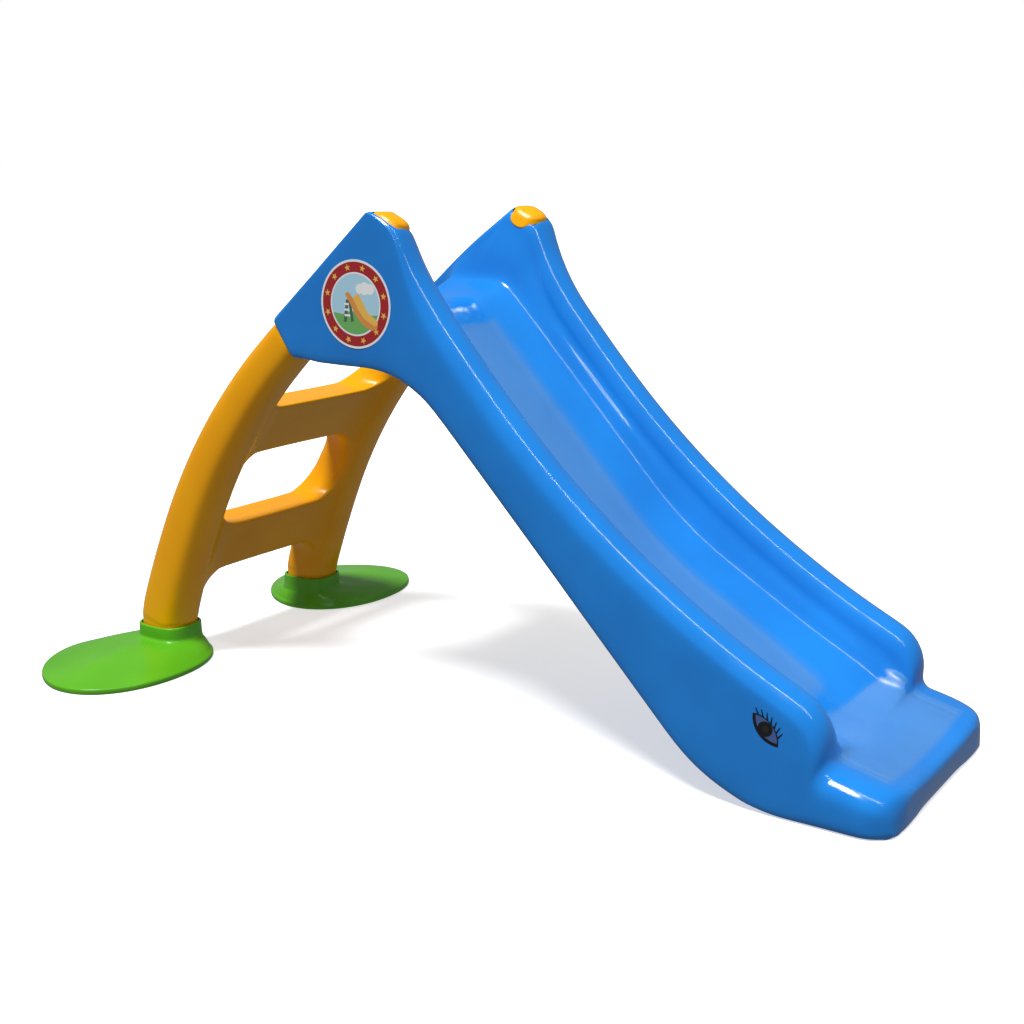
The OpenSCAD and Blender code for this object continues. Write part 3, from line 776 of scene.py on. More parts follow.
@dataclass
class Ladder:
    """Two hollow rails joined by two hollow steps; the rails' upper ends plug into the wings.

    A station of plug is (distance from the tip, half depth, half width, shift towards the crest, line that
    the ring lies on). A row of stretches is (first distance, last distance, how many stations), and a row of
    cap_steps is (share of the cap's size, height over the crest).
    """

    rail_half_w: float = 34.0
    leg_half_w: float = 39.0
    half_depths: tuple[Point2, ...] = ((262.0, 34.0), (560.0, 39.0), (830.0, 43.0))
    leg_splay: float = 5.0
    skin: float = 3.5
    tread_z: tuple[float, float] = (427.0, 218.0)
    riser_h: float = 82.0
    tread_d: float = 64.0
    slope: float = 41.3
    socket_len: float = 262.0
    wall_y: float = 175.0
    ring_m: int = 20
    square: float = 0.67
    swell: float = 560.0
    splay_over: float = 600.0
    mouth_turn: float = 26.0
    step_lo: int = 7
    step_hi: int = 13
    step_rows: tuple[tuple[int, int], tuple[int, int]] = ((8, 15), (16, 23))
    step_y: float = 92.0
    step_tilt: float = 7.0
    step_taper: float = 0.95
    step_shrink: float = 0.13
    step_turns: tuple[float, ...] = (18, 36, 54, 72, 90)
    in_collar: float = 842.0
    flash_wave: float = 2.6
    flash_lobes: int = 5
    flash_reach: float = 3.0
    shoulder: int = 5
    levels: int = 2
    mouth_top: Point2 = (-284.0, 582.0)
    mouth_low: Point2 = (-245.0, 523.0)
    wing_crest: Track = Chute.crest
    cap_centre: float = 269.0
    cap_half_long: float = 27.0
    cap_half_wide: float = 25.0
    cap_shift: float = 2.5
    cap_inner_radius: float = 35.0
    cap_tuck: float = 6.0
    cap_square: float = 0.85
    cap_steps: tuple[Point2, ...] = (
        (0.35, 4.4), (0.7, 3.6), (0.9, 1.8), (0.99, -0.6), (1.13, -3.3), (1.16, -5.0), (1.0, -12.0),
    )
    plug: tuple[Station, ...] = (
        (60, 21, 24, 5, 0),
        (150, 25, 28, 2, 0), (235, 28.5, 29.6, 0, 0), (243, 30, 30.4, 0, 0), (262.6, 30, 30.4, 0, 2),
        (262.6, 34, 34, 0, 2),
    )
    reach_low: Point3 = (-650.0, -300.0, 0.0)
    reach_high: Point3 = (0.0, 300.0, 740.6)
    stretches: tuple[tuple[float, float, int], ...] = (
        (285, 335, 2), (365, 585, 8), (610, 808, 8), (826, 840, 2), (843, 899, 4),
    )

    def __post_init__(self) -> None:
        """Works out the rail's track and its stations."""
        mouth = mix2(self.mouth_top, self.mouth_low, 0.5)
        start = (mouth[0] + self.socket_len * cosd(self.slope), mouth[1] + self.socket_len * sind(self.slope))
        self.rail = Track(
            start, 180 + self.slope, ((self.socket_len, 0), (388, 24.7), (165, 5), (45, 19), (39, 0))
        )
        self.stations: list[Station] = list(self.plug)
        for a, b, count in self.stretches:
            for k in range(count):
                s = mix(a, b, k / (count - 1))
                inset = 1 if s > self.in_collar else 0
                self.stations.append((s, self.half_depth(s) - inset, self.half_width(s) - inset, 0, 0))

    def half_depth(self, s: float) -> float:
        """Returns half the rail's depth at a distance s from its tip."""
        at, depth = zip(*self.half_depths)
        return float(np.interp(s, at, depth))

    def half_width(self, s: float) -> float:
        """Returns half the rail's width at a distance s from its tip."""
        return mix(self.rail_half_w, self.leg_half_w, ramp(s, self.socket_len, self.socket_len + self.swell))

    def ring(self, q: Station, shrink: float) -> list[Point3]:
        """Returns one ring round the left rail.

        Args:
            q: Station: distance, half depth, half width, shift, and the line that the ring lies on.
            shrink: How far the ring is drawn in.
        """
        x, z, h = self.rail.along(q[0])
        span = math.dist(self.mouth_top, self.mouth_low)
        lines = (
            (-sind(h), cosd(h)),
            (cosd(self.mouth_turn), -sind(self.mouth_turn)),
            ((self.mouth_low[0] - self.mouth_top[0]) / span, (self.mouth_low[1] - self.mouth_top[1]) / span),
        )
        dx, dz = lines[q[4]]
        cx, cz = x - sind(self.slope) * q[3], z + cosd(self.slope) * q[3]
        cy = self.wall_y + self.leg_splay * ramp(q[0], self.socket_len, self.socket_len + self.splay_over)
        wave = self.flash_wave if abs(q[0] - self.in_collar) < self.flash_reach else 0.0
        points = []
        for j in range(self.ring_m):
            a = 360 * j / self.ring_m
            e = squarish(sind(a), self.square) * (q[1] - shrink)
            w = wave * sind(self.flash_lobes * a)
            y = cy + squarish(cosd(a), self.square) * (q[2] - shrink)
            points.append((cx + dx * e + cosd(h) * w, y, cz + dz * e + sind(h) * w))
        return points

    def step_loop(self, z: float, rows: tuple[int, int], inset: float) -> list[Point2]:
        """Returns a step's section as a loop of (x, z) points that pairs with the patch on the rail."""
        top = self.rail.at(self.stations[rows[0] + 3][0])
        low = self.rail.at(self.stations[rows[1] - 2][0])
        front = (mix(top[0], top[0] + self.tread_d, 0.5), z)
        fall = (self.riser_h * (low[0] - top[0]) / (top[1] - low[1]), -self.riser_h)
        rear = (front[0] - self.tread_d, front[1] + self.step_tilt)
        low_rear = (rear[0] + fall[0] * self.step_taper, rear[1] + fall[1] * self.step_taper)
        c = [front, rear, low_rear, (front[0] + fall[0], front[1] + fall[1])]
        middle = mix2(c[0], c[2], 0.5)
        c = [mix2(p, middle, inset) for p in c]
        down, back = rows[1] - rows[0], self.step_hi - self.step_lo
        return (
            [mix2(c[0], c[3], k / down) for k in range(down + 1)]
            + [mix2(c[3], c[2], k / back) for k in range(1, back + 1)]
            + [mix2(c[2], c[1], k / down) for k in range(1, down + 1)]
            + [mix2(c[1], c[0], k / back) for k in range(1, back)]
        )

    def patch(self, first: int, rows: tuple[int, int]) -> Loop:
        """Returns the indices round the window in a rail's grid that a step grows from."""
        m, lo, hi = self.ring_m, self.step_lo, self.step_hi
        return (
            [first + i * m + lo for i in range(rows[0], rows[1] + 1)]
            + [first + rows[1] * m + j for j in range(lo + 1, hi + 1)]
            + [first + i * m + hi for i in range(rows[1] - 1, rows[0] - 1, -1)]
            + [first + rows[0] * m + j for j in range(hi - 1, lo, -1)]
        )

    def shell(self, cage: Cage, inner: bool) -> dict[int, int]:
        """Adds the outer or the inner skin: both rails and both steps.

        Args:
            cage: Cage that takes it.
            inner: Whether this is the skin of the hollow.

        Returns:
            The first index of each rail's grid, by side.
        """
        m, n = self.ring_m, len(self.stations)
        shrink = self.skin if inner else 0.0
        stations = list(self.stations)
        if inner:
            before = self.plug[self.shoulder - 1]
            stations[self.shoulder] = (before[0] + 2 * self.skin, before[1], before[2], 0, 0)
        grid = [p for q in stations for p in self.ring(q, shrink)]
        mirrored = [(x, -y, z) for x, y, z in grid]
        first = {1: cage.add(grid), -1: cage.add(mirrored)}
        windows = [(a, b, self.step_lo, self.step_hi) for a, b in self.step_rows]
        for side in (1, -1):
            cage.strip(first[side], m, n, skip=windows)
            top = list(range(first[side], first[side] + m))
            if inner:
                x, z = self.rail.at(self.plug[0][0])
                cage.cap(top, (x, side * self.wall_y, z))
            else:
                self.close_cap(cage, top, side)
        for z, rows in zip(self.tread_z, self.step_rows):
            target = self.step_loop(z, rows, self.step_shrink if inner else 0.0)
            ids = self.patch(0, rows)
            loops: list[list[Point3]] = []
            for a in self.step_turns:
                loop = []
                for i, index in enumerate(ids):
                    p = grid[index]
                    cx, cz = mix2((p[0], p[2]), target[i], sind(a))
                    loop.append((cx, mix(p[1], self.step_y, 1 - cosd(a)), cz))
                loops.append(loop)
            walk = [self.patch(first[1], rows)]
            for loop in loops:
                at = cage.add(loop)
                walk.append(list(range(at, at + len(loop))))
            for loop in reversed(loops):
                at = cage.add((x, -y, z) for x, y, z in loop)
                walk.append(list(range(at, at + len(loop))))
            walk.append(self.patch(first[-1], rows))
            for a, b in zip(walk, walk[1:]):
                cage.band(a, b)
        return first

    def cap_ring(self, scale: float, height: float, side: int) -> list[Point3]:
        """Returns one ring of a rail's cap, a low dome that follows the crest of the wing's peak.

        Args:
            scale: Size of the ring, as a share of the whole cap.
            height: How far the ring stands over the crest's surface.
            side: Sign of Y.
        """
        points = []
        for j in range(self.ring_m):
            a = 360 * j / self.ring_m
            across = self.cap_shift + squarish(cosd(a), self.cap_square) * self.cap_half_wide * scale
            x, z, h = self.wing_crest.along(
                self.cap_centre + squarish(sind(a), self.cap_square) * self.cap_half_long * scale
            )
            r = self.cap_inner_radius
            inward = clamp(self.cap_tuck - across, 0, r - 1)
            rise = height - (r - math.sqrt(r**2 - inward**2))
            z = min(z + cosd(h) * rise, self.reach_high[2])
            points.append((x - sind(h) * rise, side * (self.wall_y + across), z))
        return points

    def close_cap(self, cage: Cage, top: Loop, side: int) -> None:
        """Joins the rail's uppermost ring to the cap that shows in the wing's peak."""
        n, below = self.ring_m, top
        for scale, height in reversed(self.cap_steps):
            at = cage.add(self.cap_ring(scale, height, side))
            ring = list(range(at, at + n))
            cage.band(below, ring)
            below = ring
        x, z, h = self.wing_crest.along(self.cap_centre)
        peak = self.cap_steps[0][1]
        cage.cap(below, (x - peak * sind(h), side * (self.wall_y + self.cap_shift), z + peak * cosd(h)))

    def build(self) -> bpy.types.Object:
        """Returns the finished ladder."""
        cage = Cage()
        outer = self.shell(cage, inner=False)
        inner = self.shell(cage, inner=True)
        end = (len(self.stations) - 1) * self.ring_m
        for side in (1, -1):
            rim = [list(range(f[side] + end, f[side] + end + self.ring_m)) for f in (outer, inner)]
            cage.band(rim[0], rim[1])
        obj = cage.build("ladder_shell", self.levels, self.reach_low, self.reach_high)
        obj.data.materials.append(YELLOW_RAIL.material())
        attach(obj, "ladder_body")
        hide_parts("ladder")
        return obj


# ---------------------------------------------------------------- feet


@dataclass
class Foot:
    """A domed oval plate, hollow underneath, with a collar that holds the leg.

    The plate reaches front ahead of its middle, rear behind it and long to either side of it.
    """

    side: Side
    leg_x: float = -560.1
    leg_z: float = 5.76
    leg_y: float = 180.0
    long: float = 149.0
    front: float = 110.0
    rear: float = 138.0
    middle: Point2 = (-562.0, 270.0)
    collar_z: float = 54.0
    skin: float = 4.0
    gap: float = 1.5
    leg_half: Point2 = (42.0, 38.0)
    square: float = 0.67
    ridge_h: float = 5.0
    ridge_w: float = 34.0
    edge_lip: float = 0.8
    loop_f: int = 48
    levels: int = 2
    reach_low: Point3 = (-699.5, -418.8, 0.0)
    reach_high: Point3 = (0.0, 418.8, 80.0)

    def oval(self, inset: float) -> list[Point2]:
        """Returns the plate's outline drawn in by inset."""
        points = []
        for k in range(self.loop_f):
            a = 360 * k / self.loop_f
            ahead = cosd(a) > 0
            power = 0.93 if ahead else 1.12
            reach = (self.front if ahead else self.rear) - inset
            points.append(
                (self.middle[0] + reach * squarish(cosd(a), power),
                 self.middle[1] + (self.long - inset) * squarish(sind(a), power))
            )
        return points

    def sleeve(self, grow: float) -> list[Point2]:
        """Returns the outline of the leg's end grown by grow."""
        return [
            (self.leg_x + squarish(cosd(360 * k / self.loop_f), self.square) * (self.leg_half[0] + grow),
             self.leg_y + squarish(sind(360 * k / self.loop_f), self.square) * (self.leg_half[1] + grow))
            for k in range(self.loop_f)
        ]

    def ridge(self, p: Point2) -> float:
        """Returns the height of the soft ridge that runs from the collar to the outer end."""
        across = math.exp(-(((p[0] - self.leg_x) / self.ridge_w) ** 2))
        end = self.middle[1] + self.long
        return self.ridge_h * across * ramp(p[1], self.leg_y, self.leg_y + 60) * ramp(p[1], end, end - 70)

    def build(self) -> bpy.types.Object:
        """Returns the finished foot."""
        wall = self.gap + self.skin
        outline, collar = self.oval(3), self.sleeve(wall)

        def between(t: float) -> list[Point2]:
            """Returns the loop a share t of the way from the plate's edge to the collar."""
            return [mix2(a, b, t) for a, b in zip(outline, collar)]

        # Each loop with its height, and whether the ridge lifts it: inside the collar, over the dome and back
        lofts: list[tuple[list[Point2], float, bool]] = [
            (self.sleeve(self.gap), self.leg_z, False),
            (self.sleeve(self.gap), self.collar_z - 1.5, False),
            (self.sleeve(self.gap + self.edge_lip), self.collar_z, False),
            (self.sleeve(wall - self.edge_lip), self.collar_z, False),
            (self.sleeve(wall), self.collar_z - 1.5, False),
            (self.sleeve(wall + 0.3), 38, False),
            (self.sleeve(wall + 1), 31, False),
            (between(0.86), 27.5, True), (between(0.7), 25, True), (between(0.5), 21.5, True),
            (between(0.3), 17.5, True), (between(0.12), 13, True), (self.oval(3), 10.5, False),
            (self.oval(0.4), 8, False), (self.oval(0), 6, False), (self.oval(0), 2.5, False),
            (self.oval(1.2), 0.2, False), (self.oval(6), 0, False), (self.oval(7), 5, False),
            (between(0.35), 14.5, False), (between(0.75), 21.5, False), (self.sleeve(wall - 0.5), 24, False),
            (self.sleeve(wall - 0.5), 0, False),
        ]
        cage = Cage()
        sign = self.side.value
        points = [
            (p[0], sign * p[1], z + (self.ridge(p) if domed else 0.0))
            for loop, z, domed in lofts
            for p in loop
        ]
        first = cage.add(points)
        n = self.loop_f
        cage.strip(first, n, len(lofts))
        cage.cap(list(range(first, first + n)), (self.leg_x, sign * self.leg_y, self.leg_z))
        last = first + (len(lofts) - 1) * n
        cage.cap(list(range(last, last + n)), (self.leg_x, sign * self.leg_y, 0.0))
        name = self.side.name.lower()
        obj = cage.build(f"foot_{name}_shell", self.levels, self.reach_low, self.reach_high)
        obj.data.materials.append(GREEN_FOOT.material())
        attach(obj, f"foot_{name}_body")
        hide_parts(f"foot_{name}")
        return obj


# ---------------------------------------------------------------- printed films


class Repeats:
    """A Geometry Nodes tree that sets copies of a small piece on an arc."""

    def __init__(self) -> None:
        """Builds the tree once."""
        tree = self.tree = bpy.data.node_groups.new("Pieces on an arc", "GeometryNodeTree")
        face = tree.interface
        face.new_socket("Geometry", in_out="OUTPUT", socket_type="NodeSocketGeometry")
        self.sockets = {
            name: face.new_socket(name, in_out="INPUT", socket_type=kind).identifier
            for name, kind in (
                ("Piece", "NodeSocketObject"), ("Count", "NodeSocketInt"), ("Radius", "NodeSocketFloat"),
                ("First Angle", "NodeSocketFloat"), ("Step Angle", "NodeSocketFloat"),
                ("Material", "NodeSocketMaterial"),
            )
        }
        given = add_node(tree, "NodeGroupInput").outputs
        line = add_node(tree, "GeometryNodeMeshLine", None, {"Count": given["Count"]})
        number = add_node(tree, "GeometryNodeInputIndex").outputs["Index"]

        def maths(operation: str, *values: object) -> bpy.types.NodeSocket:
            """Returns the result of one operation on sockets or numbers."""
            inputs = dict(enumerate(values))
            return add_node(tree, "ShaderNodeMath", {"operation": operation}, inputs).outputs["Value"]

        angle = maths("MULTIPLY_ADD", number, given["Step Angle"], given["First Angle"])
        x, y = [maths("MULTIPLY", maths(wave, angle), given["Radius"]) for wave in ("SINE", "COSINE")]
        place = add_node(tree, "ShaderNodeCombineXYZ", None, {"X": x, "Y": y}).outputs["Vector"]
        at = {"Geometry": line.outputs["Mesh"], "Position": place}
        moved = add_node(tree, "GeometryNodeSetPosition", None, at)
        turn = add_node(tree, "ShaderNodeCombineXYZ", None, {"Z": maths("MULTIPLY", angle, -1.0)})
        piece = add_node(tree, "GeometryNodeObjectInfo", None, {"Object": given["Piece"]})
        laid = {
            "Points": moved.outputs["Geometry"], "Instance": piece.outputs["Geometry"],
            "Rotation": turn.outputs["Vector"],
        }
        copies = add_node(tree, "GeometryNodeInstanceOnPoints", None, laid)
        real = add_node(tree, "GeometryNodeRealizeInstances", None, {"Geometry": copies.outputs["Instances"]})
        shown = {"Geometry": real.outputs["Geometry"], "Material": given["Material"]}
        dressed = add_node(tree, "GeometryNodeSetMaterial", None, shown)
        add_node(tree, "NodeGroupOutput", None, {"Geometry": dressed.outputs["Geometry"]})

    def on_arc(
        self, piece: bpy.types.Object, count: int, radius: float, first: float, step: float,
        material: bpy.types.Material,
    ) -> bpy.types.Object:
        """Returns one plain mesh object that holds all the copies.

        Args:
            piece: The piece to repeat; it is removed afterwards.
            count: How many copies.
            radius: Radius of the arc in millimetres.
            first: Angle of the first copy from +Y, clockwise, in degrees.
            step: Angle between copies in degrees.
            material: Material of the copies.
        """
        obj = link("repeats", bpy.data.meshes.new("repeats"))
        modifier = obj.modifiers.new("Pieces on an arc", "NODES")
        modifier.node_group = self.tree
        values = {
            "Piece": piece, "Count": count, "Radius": radius * MM, "First Angle": math.radians(first),
            "Step Angle": math.radians(step), "Material": material,
        }
        for name, value in values.items():
            modifier[self.sockets[name]] = value
        obj.update_tag()
        baked(obj)
        bpy.data.objects.remove(piece)
        return obj


@dataclass
class Print:
    """A printed film on a side wall, drawn flat as layers and then laid on the wall.

    A layer is a thin closed plate, and later layers stand a few hundredths of a millimetre higher, as inks
    do.
    """

    side: Side
    centre: Point2
    turn: float
    repeats: Repeats
    wall: float = 210.0
    foot: float = 0.02
    mirrored: bool = False

    def __post_init__(self) -> None:
        """Starts with no layers."""
        self.parts: list[bpy.types.Object] = []

    def plate(self, outline: Sequence[Point2], height: float, name: str = "ink") -> bpy.types.Object:
        """Returns a closed plate with an outline in the film's plane.

        Args:
            outline: Points in millimetres, anticlockwise.
            height: How far the plate's face stands off the wall, in millimetres.
            name: Name of the object.
        """
        bm = bmesh.new()
        low = [bm.verts.new((x * MM, y * MM, self.foot * MM)) for x, y in outline]
        high = [bm.verts.new((x * MM, y * MM, height * MM)) for x, y in outline]
        bm.faces.new(high)
        bm.faces.new(list(reversed(low)))
        n = len(outline)
        for k in range(n):
            m = (k + 1) % n
            bm.faces.new((low[k], low[m], high[m], high[k]))
        bmesh.ops.recalc_face_normals(bm, faces=bm.faces)
        mesh = bpy.data.meshes.new(name)
        bm.to_mesh(mesh)
        bm.free()
        return link(name, mesh)

    def ink(self, outline: Sequence[Point2], height: float, finish: bpy.types.Material) -> None:
        """Prints one shape in one colour."""
        obj = self.plate(outline, height)
        obj.data.materials.append(finish)
        self.parts.append(obj)

    @staticmethod
    def disc(r: float, cx: float = 0.0, cy: float = 0.0, n: int = 96) -> list[Point2]:
        """Returns a circle's outline."""
        return [(cx + r * cosd(360 * k / n), cy + r * sind(360 * k / n)) for k in range(n)]

    @staticmethod
    def arc(cx: float, cy: float, r: float, a0: float, a1: float, n: int = 24) -> list[Point2]:
        """Returns points along an arc from angle a0 to a1."""
        return [(cx + r * cosd(mix(a0, a1, k / n)), cy + r * sind(mix(a0, a1, k / n))) for k in range(n + 1)]

    def lay(self, name: str, body: str, node: str, slot: str) -> bpy.types.Object:
        """Joins the layers, lays them on the wall and hands the piece over.

        Args:
            name: Name of the piece.
            body: Body that it rides on.
            node: Node that it stands for.
            slot: Not used.
        """
        sign = self.side.value
        turned = Matrix.Rotation(math.radians(self.turn), 4, "Z")
        flip = Matrix.Diagonal((-1 if self.mirrored and sign > 0 else 1, 1, 1, 1))
        right = Vector((-sign, 0, 0))
        upright = Matrix((
            (right.x, 0, 0, self.centre[0] * MM), (0, 0, sign, sign * self.wall * MM),
            (0, 1, 0, self.centre[1] * MM), (0, 0, 0, 1),
        ))
        bm = bmesh.new()
        materials: list[bpy.types.Material] = []
        for part in self.parts:
            materials += [mat for mat in part.data.materials if mat not in materials]
            places = [materials.index(mat) for mat in part.data.materials]
            for face in part.data.polygons:
                face.material_index = places[face.material_index] if places else 0
            bm.from_mesh(part.data)
            bpy.data.objects.remove(part)
        bm.transform(upright @ flip @ turned)
        if upright.to_3x3().determinant() * flip.to_3x3().determinant() < 0:
            bmesh.ops.reverse_faces(bm, faces=bm.faces)
        mesh = bpy.data.meshes.new(name)
        bm.to_mesh(mesh)
        bm.free()
        obj = link(name, mesh)
        for mat in materials:
            mesh.materials.append(mat)
        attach(obj, body)
        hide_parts(node)
        return obj


@dataclass
class RoundLabel(Print):
    """The round label: a white edge, a red ring with gold stars, and a small picture of a slide on grass."""

    radius: float = 63.0
    inner: float = 43.0
    rim: float = 3.2
    line: float = 2.2
    stars: int = 12
    star_radii: Point2 = (5.4, 2.2)

    def picture(self, inks: dict[str, bpy.types.Material]) -> None:
        """Prints the small picture, far things first: cloud, ladder, slide."""
        grass = self.arc(0, 0, self.inner - 0.4, 198, 342) + self.arc(0, -62, 52, 64, 116, 16)
        self.ink(grass, 0.31, inks["grass"])
        for x, r in ((-16, 7), (-7, 9), (3, 7.5)):
            self.ink(self.disc(r, x + 24, 20 + r * 0.3, 40), 0.30 + 0.003 * r, inks["white"])
        self.ink([(-22, -26), (-16, -26), (-12, 6), (-17, 6)], 0.33, inks["green"])
        self.ink([(-8, -26), (-3, -24), (-9, 8), (-13, 6)], 0.34, inks["green"])
        for z in (-18, -10, -2):
            self.ink([(-20, z), (-5, z), (-5, z + 3), (-20, z + 3)], 0.335, inks["white"])
        crease = [(-4, 8), (4, -6), (16, -20), (34, -29), (40, -27)]
        near = [(-19, 14), (-12, 17), *crease, (39, -33), (30, -36), (12, -28), (-2, -12), (-12, 4)]
        self.ink(list(reversed(near)), 0.35, inks["orange"])
        far = [(-2, 12), (6, 15), (12, 6), (22, -10), (40, -22), *reversed(crease)]
        self.ink(list(reversed(far)), 0.345, inks["gold"])

    def build(self, inks: dict[str, bpy.types.Material]) -> bpy.types.Object:
        """Returns the finished label."""
        self.ink(self.disc(self.radius), 0.20, inks["white"])
        self.ink(self.disc(self.radius - self.rim), 0.24, inks["red"])
        self.ink(self.disc(self.inner + self.line), 0.27, inks["white"])
        self.ink(self.disc(self.inner), 0.29, inks["sky"])
        self.picture(inks)
        reach = [self.star_radii[k % 2] for k in range(10)]
        star = [(r * sind(36 * k), r * cosd(36 * k)) for k, r in enumerate(reach)]
        piece = self.plate(list(reversed(star)), 0.38, "star")
        ring = (self.radius - self.rim + self.inner + self.line) / 2
        step = 360 / self.stars
        self.parts.append(self.repeats.on_arc(piece, self.stars, ring, step / 2, step, inks["gold"]))
        name = self.side.name.lower()
        return self.lay(f"label_{name}_print", "chute_body", f"label_{name}", "label_print")


@dataclass
class EyePrint(Print):
    """The printed eye: a dark lid line with lashes, a misty white and a dark iris."""

    length: float = 54.0
    open: float = 25.0
    lash: float = 8.0
    lashes: int = 7
    lash_first: float = -36.0
    lash_step: float = 11.0
    lash_lean: float = 0.75

    def lens(self, grow: float, shift: float = 0.0) -> list[Point2]:
        """Returns the almond between the two lids, drawn in or out by grow."""
        sag, half = self.open / 2 + grow, self.length / 2 + grow * 1.4
        bow = (half * half + sag * sag) / (2 * sag)
        reach = math.degrees(math.asin(half / bow))
        upper = self.arc(0, sag - bow + shift, bow, 90 - reach, 90 + reach)
        lower = self.arc(0, bow - sag + shift, bow, 270 - reach, 270 + reach)
        return upper[:-1] + lower[:-1]

    def build(self, inks: dict[str, bpy.types.Material]) -> bpy.types.Object:
        """Returns the finished eye."""
        self.ink(self.lens(-0.4), 0.22, inks["black"])
        self.ink(self.lens(-3.4, 1.6), 0.26, inks["mist"])
        self.ink(self.disc(10.2, -1.0, 0.4, 48), 0.30, inks["black"])
        self.ink(self.disc(4.6, -0.4, 0.8, 40), 0.33, inks["brown"])
        sag = self.open / 2
        bow = (self.length**2 / 4 + sag**2) / (2 * sag)
        lean = self.lash_lean * self.lash
        outline = [(-1.5, -1.2), (1.5, -1.2), (0.5 - lean, self.lash - 1), (-0.6 - lean, self.lash - 1.3)]
        piece = self.plate(outline, 0.24, "lash")
        row = self.repeats.on_arc(piece, self.lashes, bow, self.lash_first, self.lash_step, inks["black"])
        row.data.transform(Matrix.Translation((0, (sag - bow) * MM, 0)))
        self.parts.append(row)
        name = self.side.name.lower()
        return self.lay(f"eye_{name}_print", "chute_body", f"eye_{name}", "eye_print")


# ---------------------------------------------------------------- studio


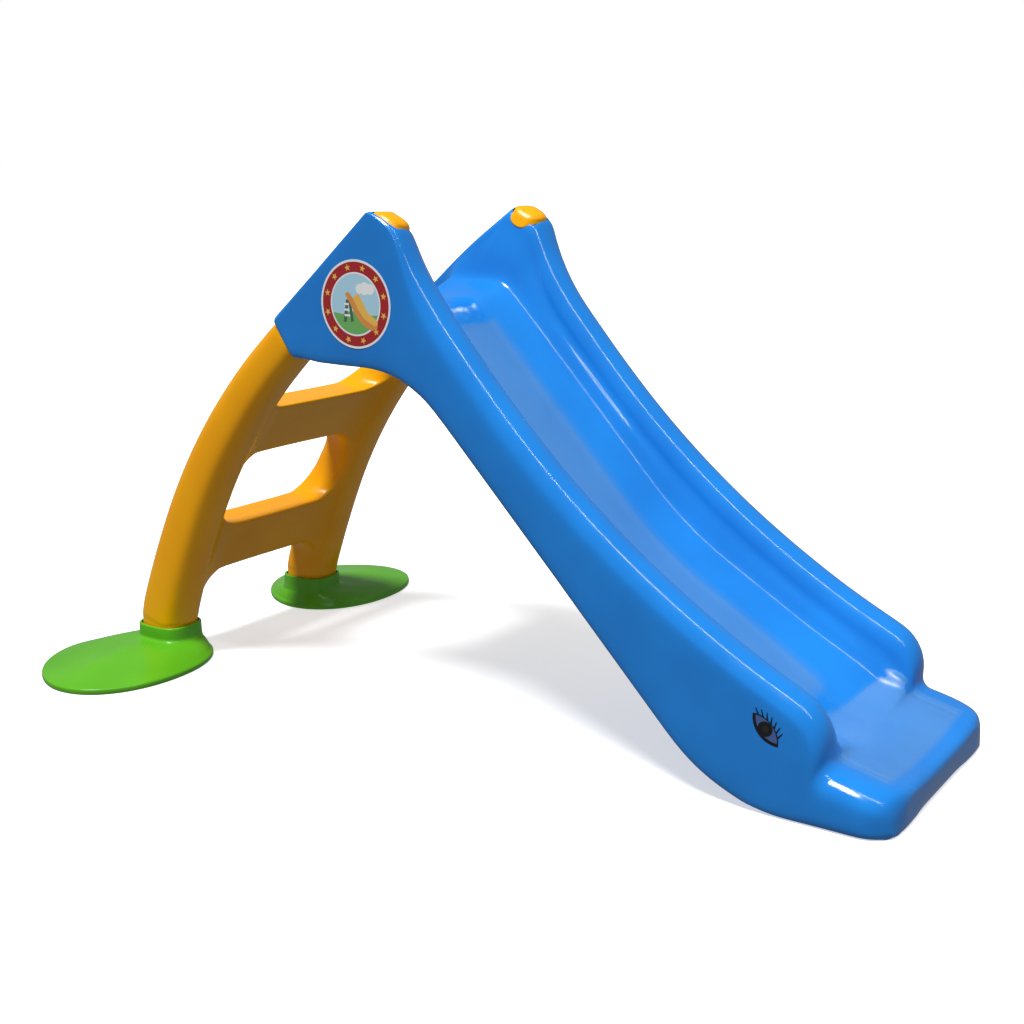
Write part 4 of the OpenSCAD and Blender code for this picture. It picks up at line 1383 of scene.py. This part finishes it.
@dataclass
class Studio:
    """A white floor, an even white backdrop, a high sun, a long strip light and the camera."""

    focal_px: float = 1471.03
    frame_px: float = 1024.0
    camera_at: Point3 = (1.21554, -1.84006, 0.81614)
    pitch: float = 13.56
    yaw: float = 33.29
    roll: float = 0.48
    ambient: float = 0.24
    floor_glow: float = 0.55
    sun_from: Point3 = (-0.02, -0.37, 0.93)
    sun_strength: float = 2.95
    sun_spread: float = 16.0
    strip_at: Point3 = (1.6, -0.75, 3.0)
    strip_size: Point2 = (5.0, 0.09)
    strip_power: float = 36.0
    floor_size: float = 160.0

    def camera(self) -> None:
        """Adds the camera and makes it the scene's own."""
        flat = cosd(self.pitch)
        ahead = Vector((-sind(self.yaw) * flat, cosd(self.yaw) * flat, -sind(self.pitch)))
        level = Vector((cosd(self.yaw), sind(self.yaw), 0))
        up = level.cross(ahead)
        right = cosd(self.roll) * level + sind(self.roll) * up
        top = -sind(self.roll) * level + cosd(self.roll) * up
        data = bpy.data.cameras.new("camera")
        data.sensor_width = 36.0
        data.lens = self.focal_px / self.frame_px * data.sensor_width
        data.clip_end = 100.0
        obj = link("camera", data)
        place = Matrix((right, top, -ahead)).transposed().to_4x4()
        place.translation = Vector(self.camera_at)
        obj.matrix_world = place
        bpy.context.scene.camera = obj

    def sun(self) -> None:
        """Adds the main light, soft-edged and high."""
        data = bpy.data.lights.new("high_sun", "SUN")
        data.energy = self.sun_strength
        data.angle = math.radians(self.sun_spread)
        obj = link("high_sun", data)
        obj.location = self.sun_from
        obj.rotation_euler = (-Vector(self.sun_from)).to_track_quat("-Z", "Y").to_euler()

    def strip(self) -> None:
        """Adds a long strip light that runs along X and draws the thin lines on crests and fillets."""
        data = bpy.data.lights.new("crest_strip", "AREA")
        data.shape = "RECTANGLE"
        data.size, data.size_y = self.strip_size
        data.energy = self.strip_power
        obj = link("crest_strip", data)
        obj.location = self.strip_at
        obj.rotation_euler = (-math.atan2(self.strip_at[1], self.strip_at[2]), 0.0, 0.0)

    def floor(self) -> None:
        """Adds the floor: matt white paper, lit a little from below as on a light table."""
        bpy.ops.mesh.primitive_plane_add(size=self.floor_size)
        obj = bpy.context.object
        obj.name = "studio_floor"
        obj.visible_diffuse = False
        obj.visible_glossy = False
        mat = bpy.data.materials.new("matt_white_paper")
        mat.use_nodes = True
        shader = mat.node_tree.nodes["Principled BSDF"]
        paper = {
            "Base Color": (0.95, 0.95, 0.95, 1.0), "Roughness": 0.9, "Specular IOR Level": 0.0,
            "Emission Color": (1.0, 1.0, 1.0, 1.0), "Emission Strength": self.floor_glow,
        }
        for socket, value in paper.items():
            shader.inputs[socket].default_value = value
        obj.data.materials.append(mat)

    def surroundings(self) -> None:
        """Sets an even white backdrop that lights the object more gently than it looks."""
        world = bpy.data.worlds.new("soft_white")
        world.use_nodes = True
        tree = world.node_tree
        tree.nodes.clear()
        seen = add_node(tree, "ShaderNodeLightPath").outputs["Is Camera Ray"]
        spread = {"Value": seen, "To Min": self.ambient, "To Max": 1.0}
        strength = add_node(tree, "ShaderNodeMapRange", None, spread).outputs["Result"]
        white = {"Color": (1.0, 1.0, 1.0, 1.0), "Strength": strength}
        shade = add_node(tree, "ShaderNodeBackground", None, white)
        add_node(tree, "ShaderNodeOutputWorld", None, {"Surface": shade.outputs["Background"]})
        bpy.context.scene.world = world

    def build(self) -> None:
        """Sets the whole studio."""
        bpy.context.scene.view_settings.view_transform = "Standard"
        self.surroundings()
        self.floor()
        self.sun()
        self.strip()
        self.camera()


# ---------------------------------------------------------------- main


# Where the prints' middles lie on the side walls, and how far the eye is turned to follow the slope
LABEL_AT: Point2 = (-123.5, 611.5)
EYE_AT: Point2 = (530.0, 117.0)
EYE_TURN = -47.0


def main() -> None:
    """Builds the pieces in order."""
    logging.basicConfig(level=logging.INFO, format="%(message)s")
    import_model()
    Studio().build()
    LOG.info("chute: %d faces", len(Chute().build().data.polygons))
    LOG.info("ladder: %d faces", len(Ladder().build().data.polygons))
    repeats = Repeats()
    finishes = {
        "white": FILM_WHITE, "red": FILM_RED, "sky": FILM_SKY, "grass": FILM_GRASS, "orange": FILM_ORANGE,
        "green": FILM_GREEN, "gold": FILM_GOLD, "black": FILM_BLACK, "brown": FILM_BROWN, "mist": FILM_MIST,
    }
    inks = {name: finish.material() for name, finish in finishes.items()}
    for side in Side:
        foot = Foot(side).build()
        label = RoundLabel(side, LABEL_AT, 0.0, repeats).build(inks)
        eye = EyePrint(side, EYE_AT, EYE_TURN, repeats, mirrored=True).build(inks)
        for piece in (foot, label, eye):
            LOG.info("%s: %d faces", piece.name, len(piece.data.polygons))


if __name__ == "__main__":
    main()
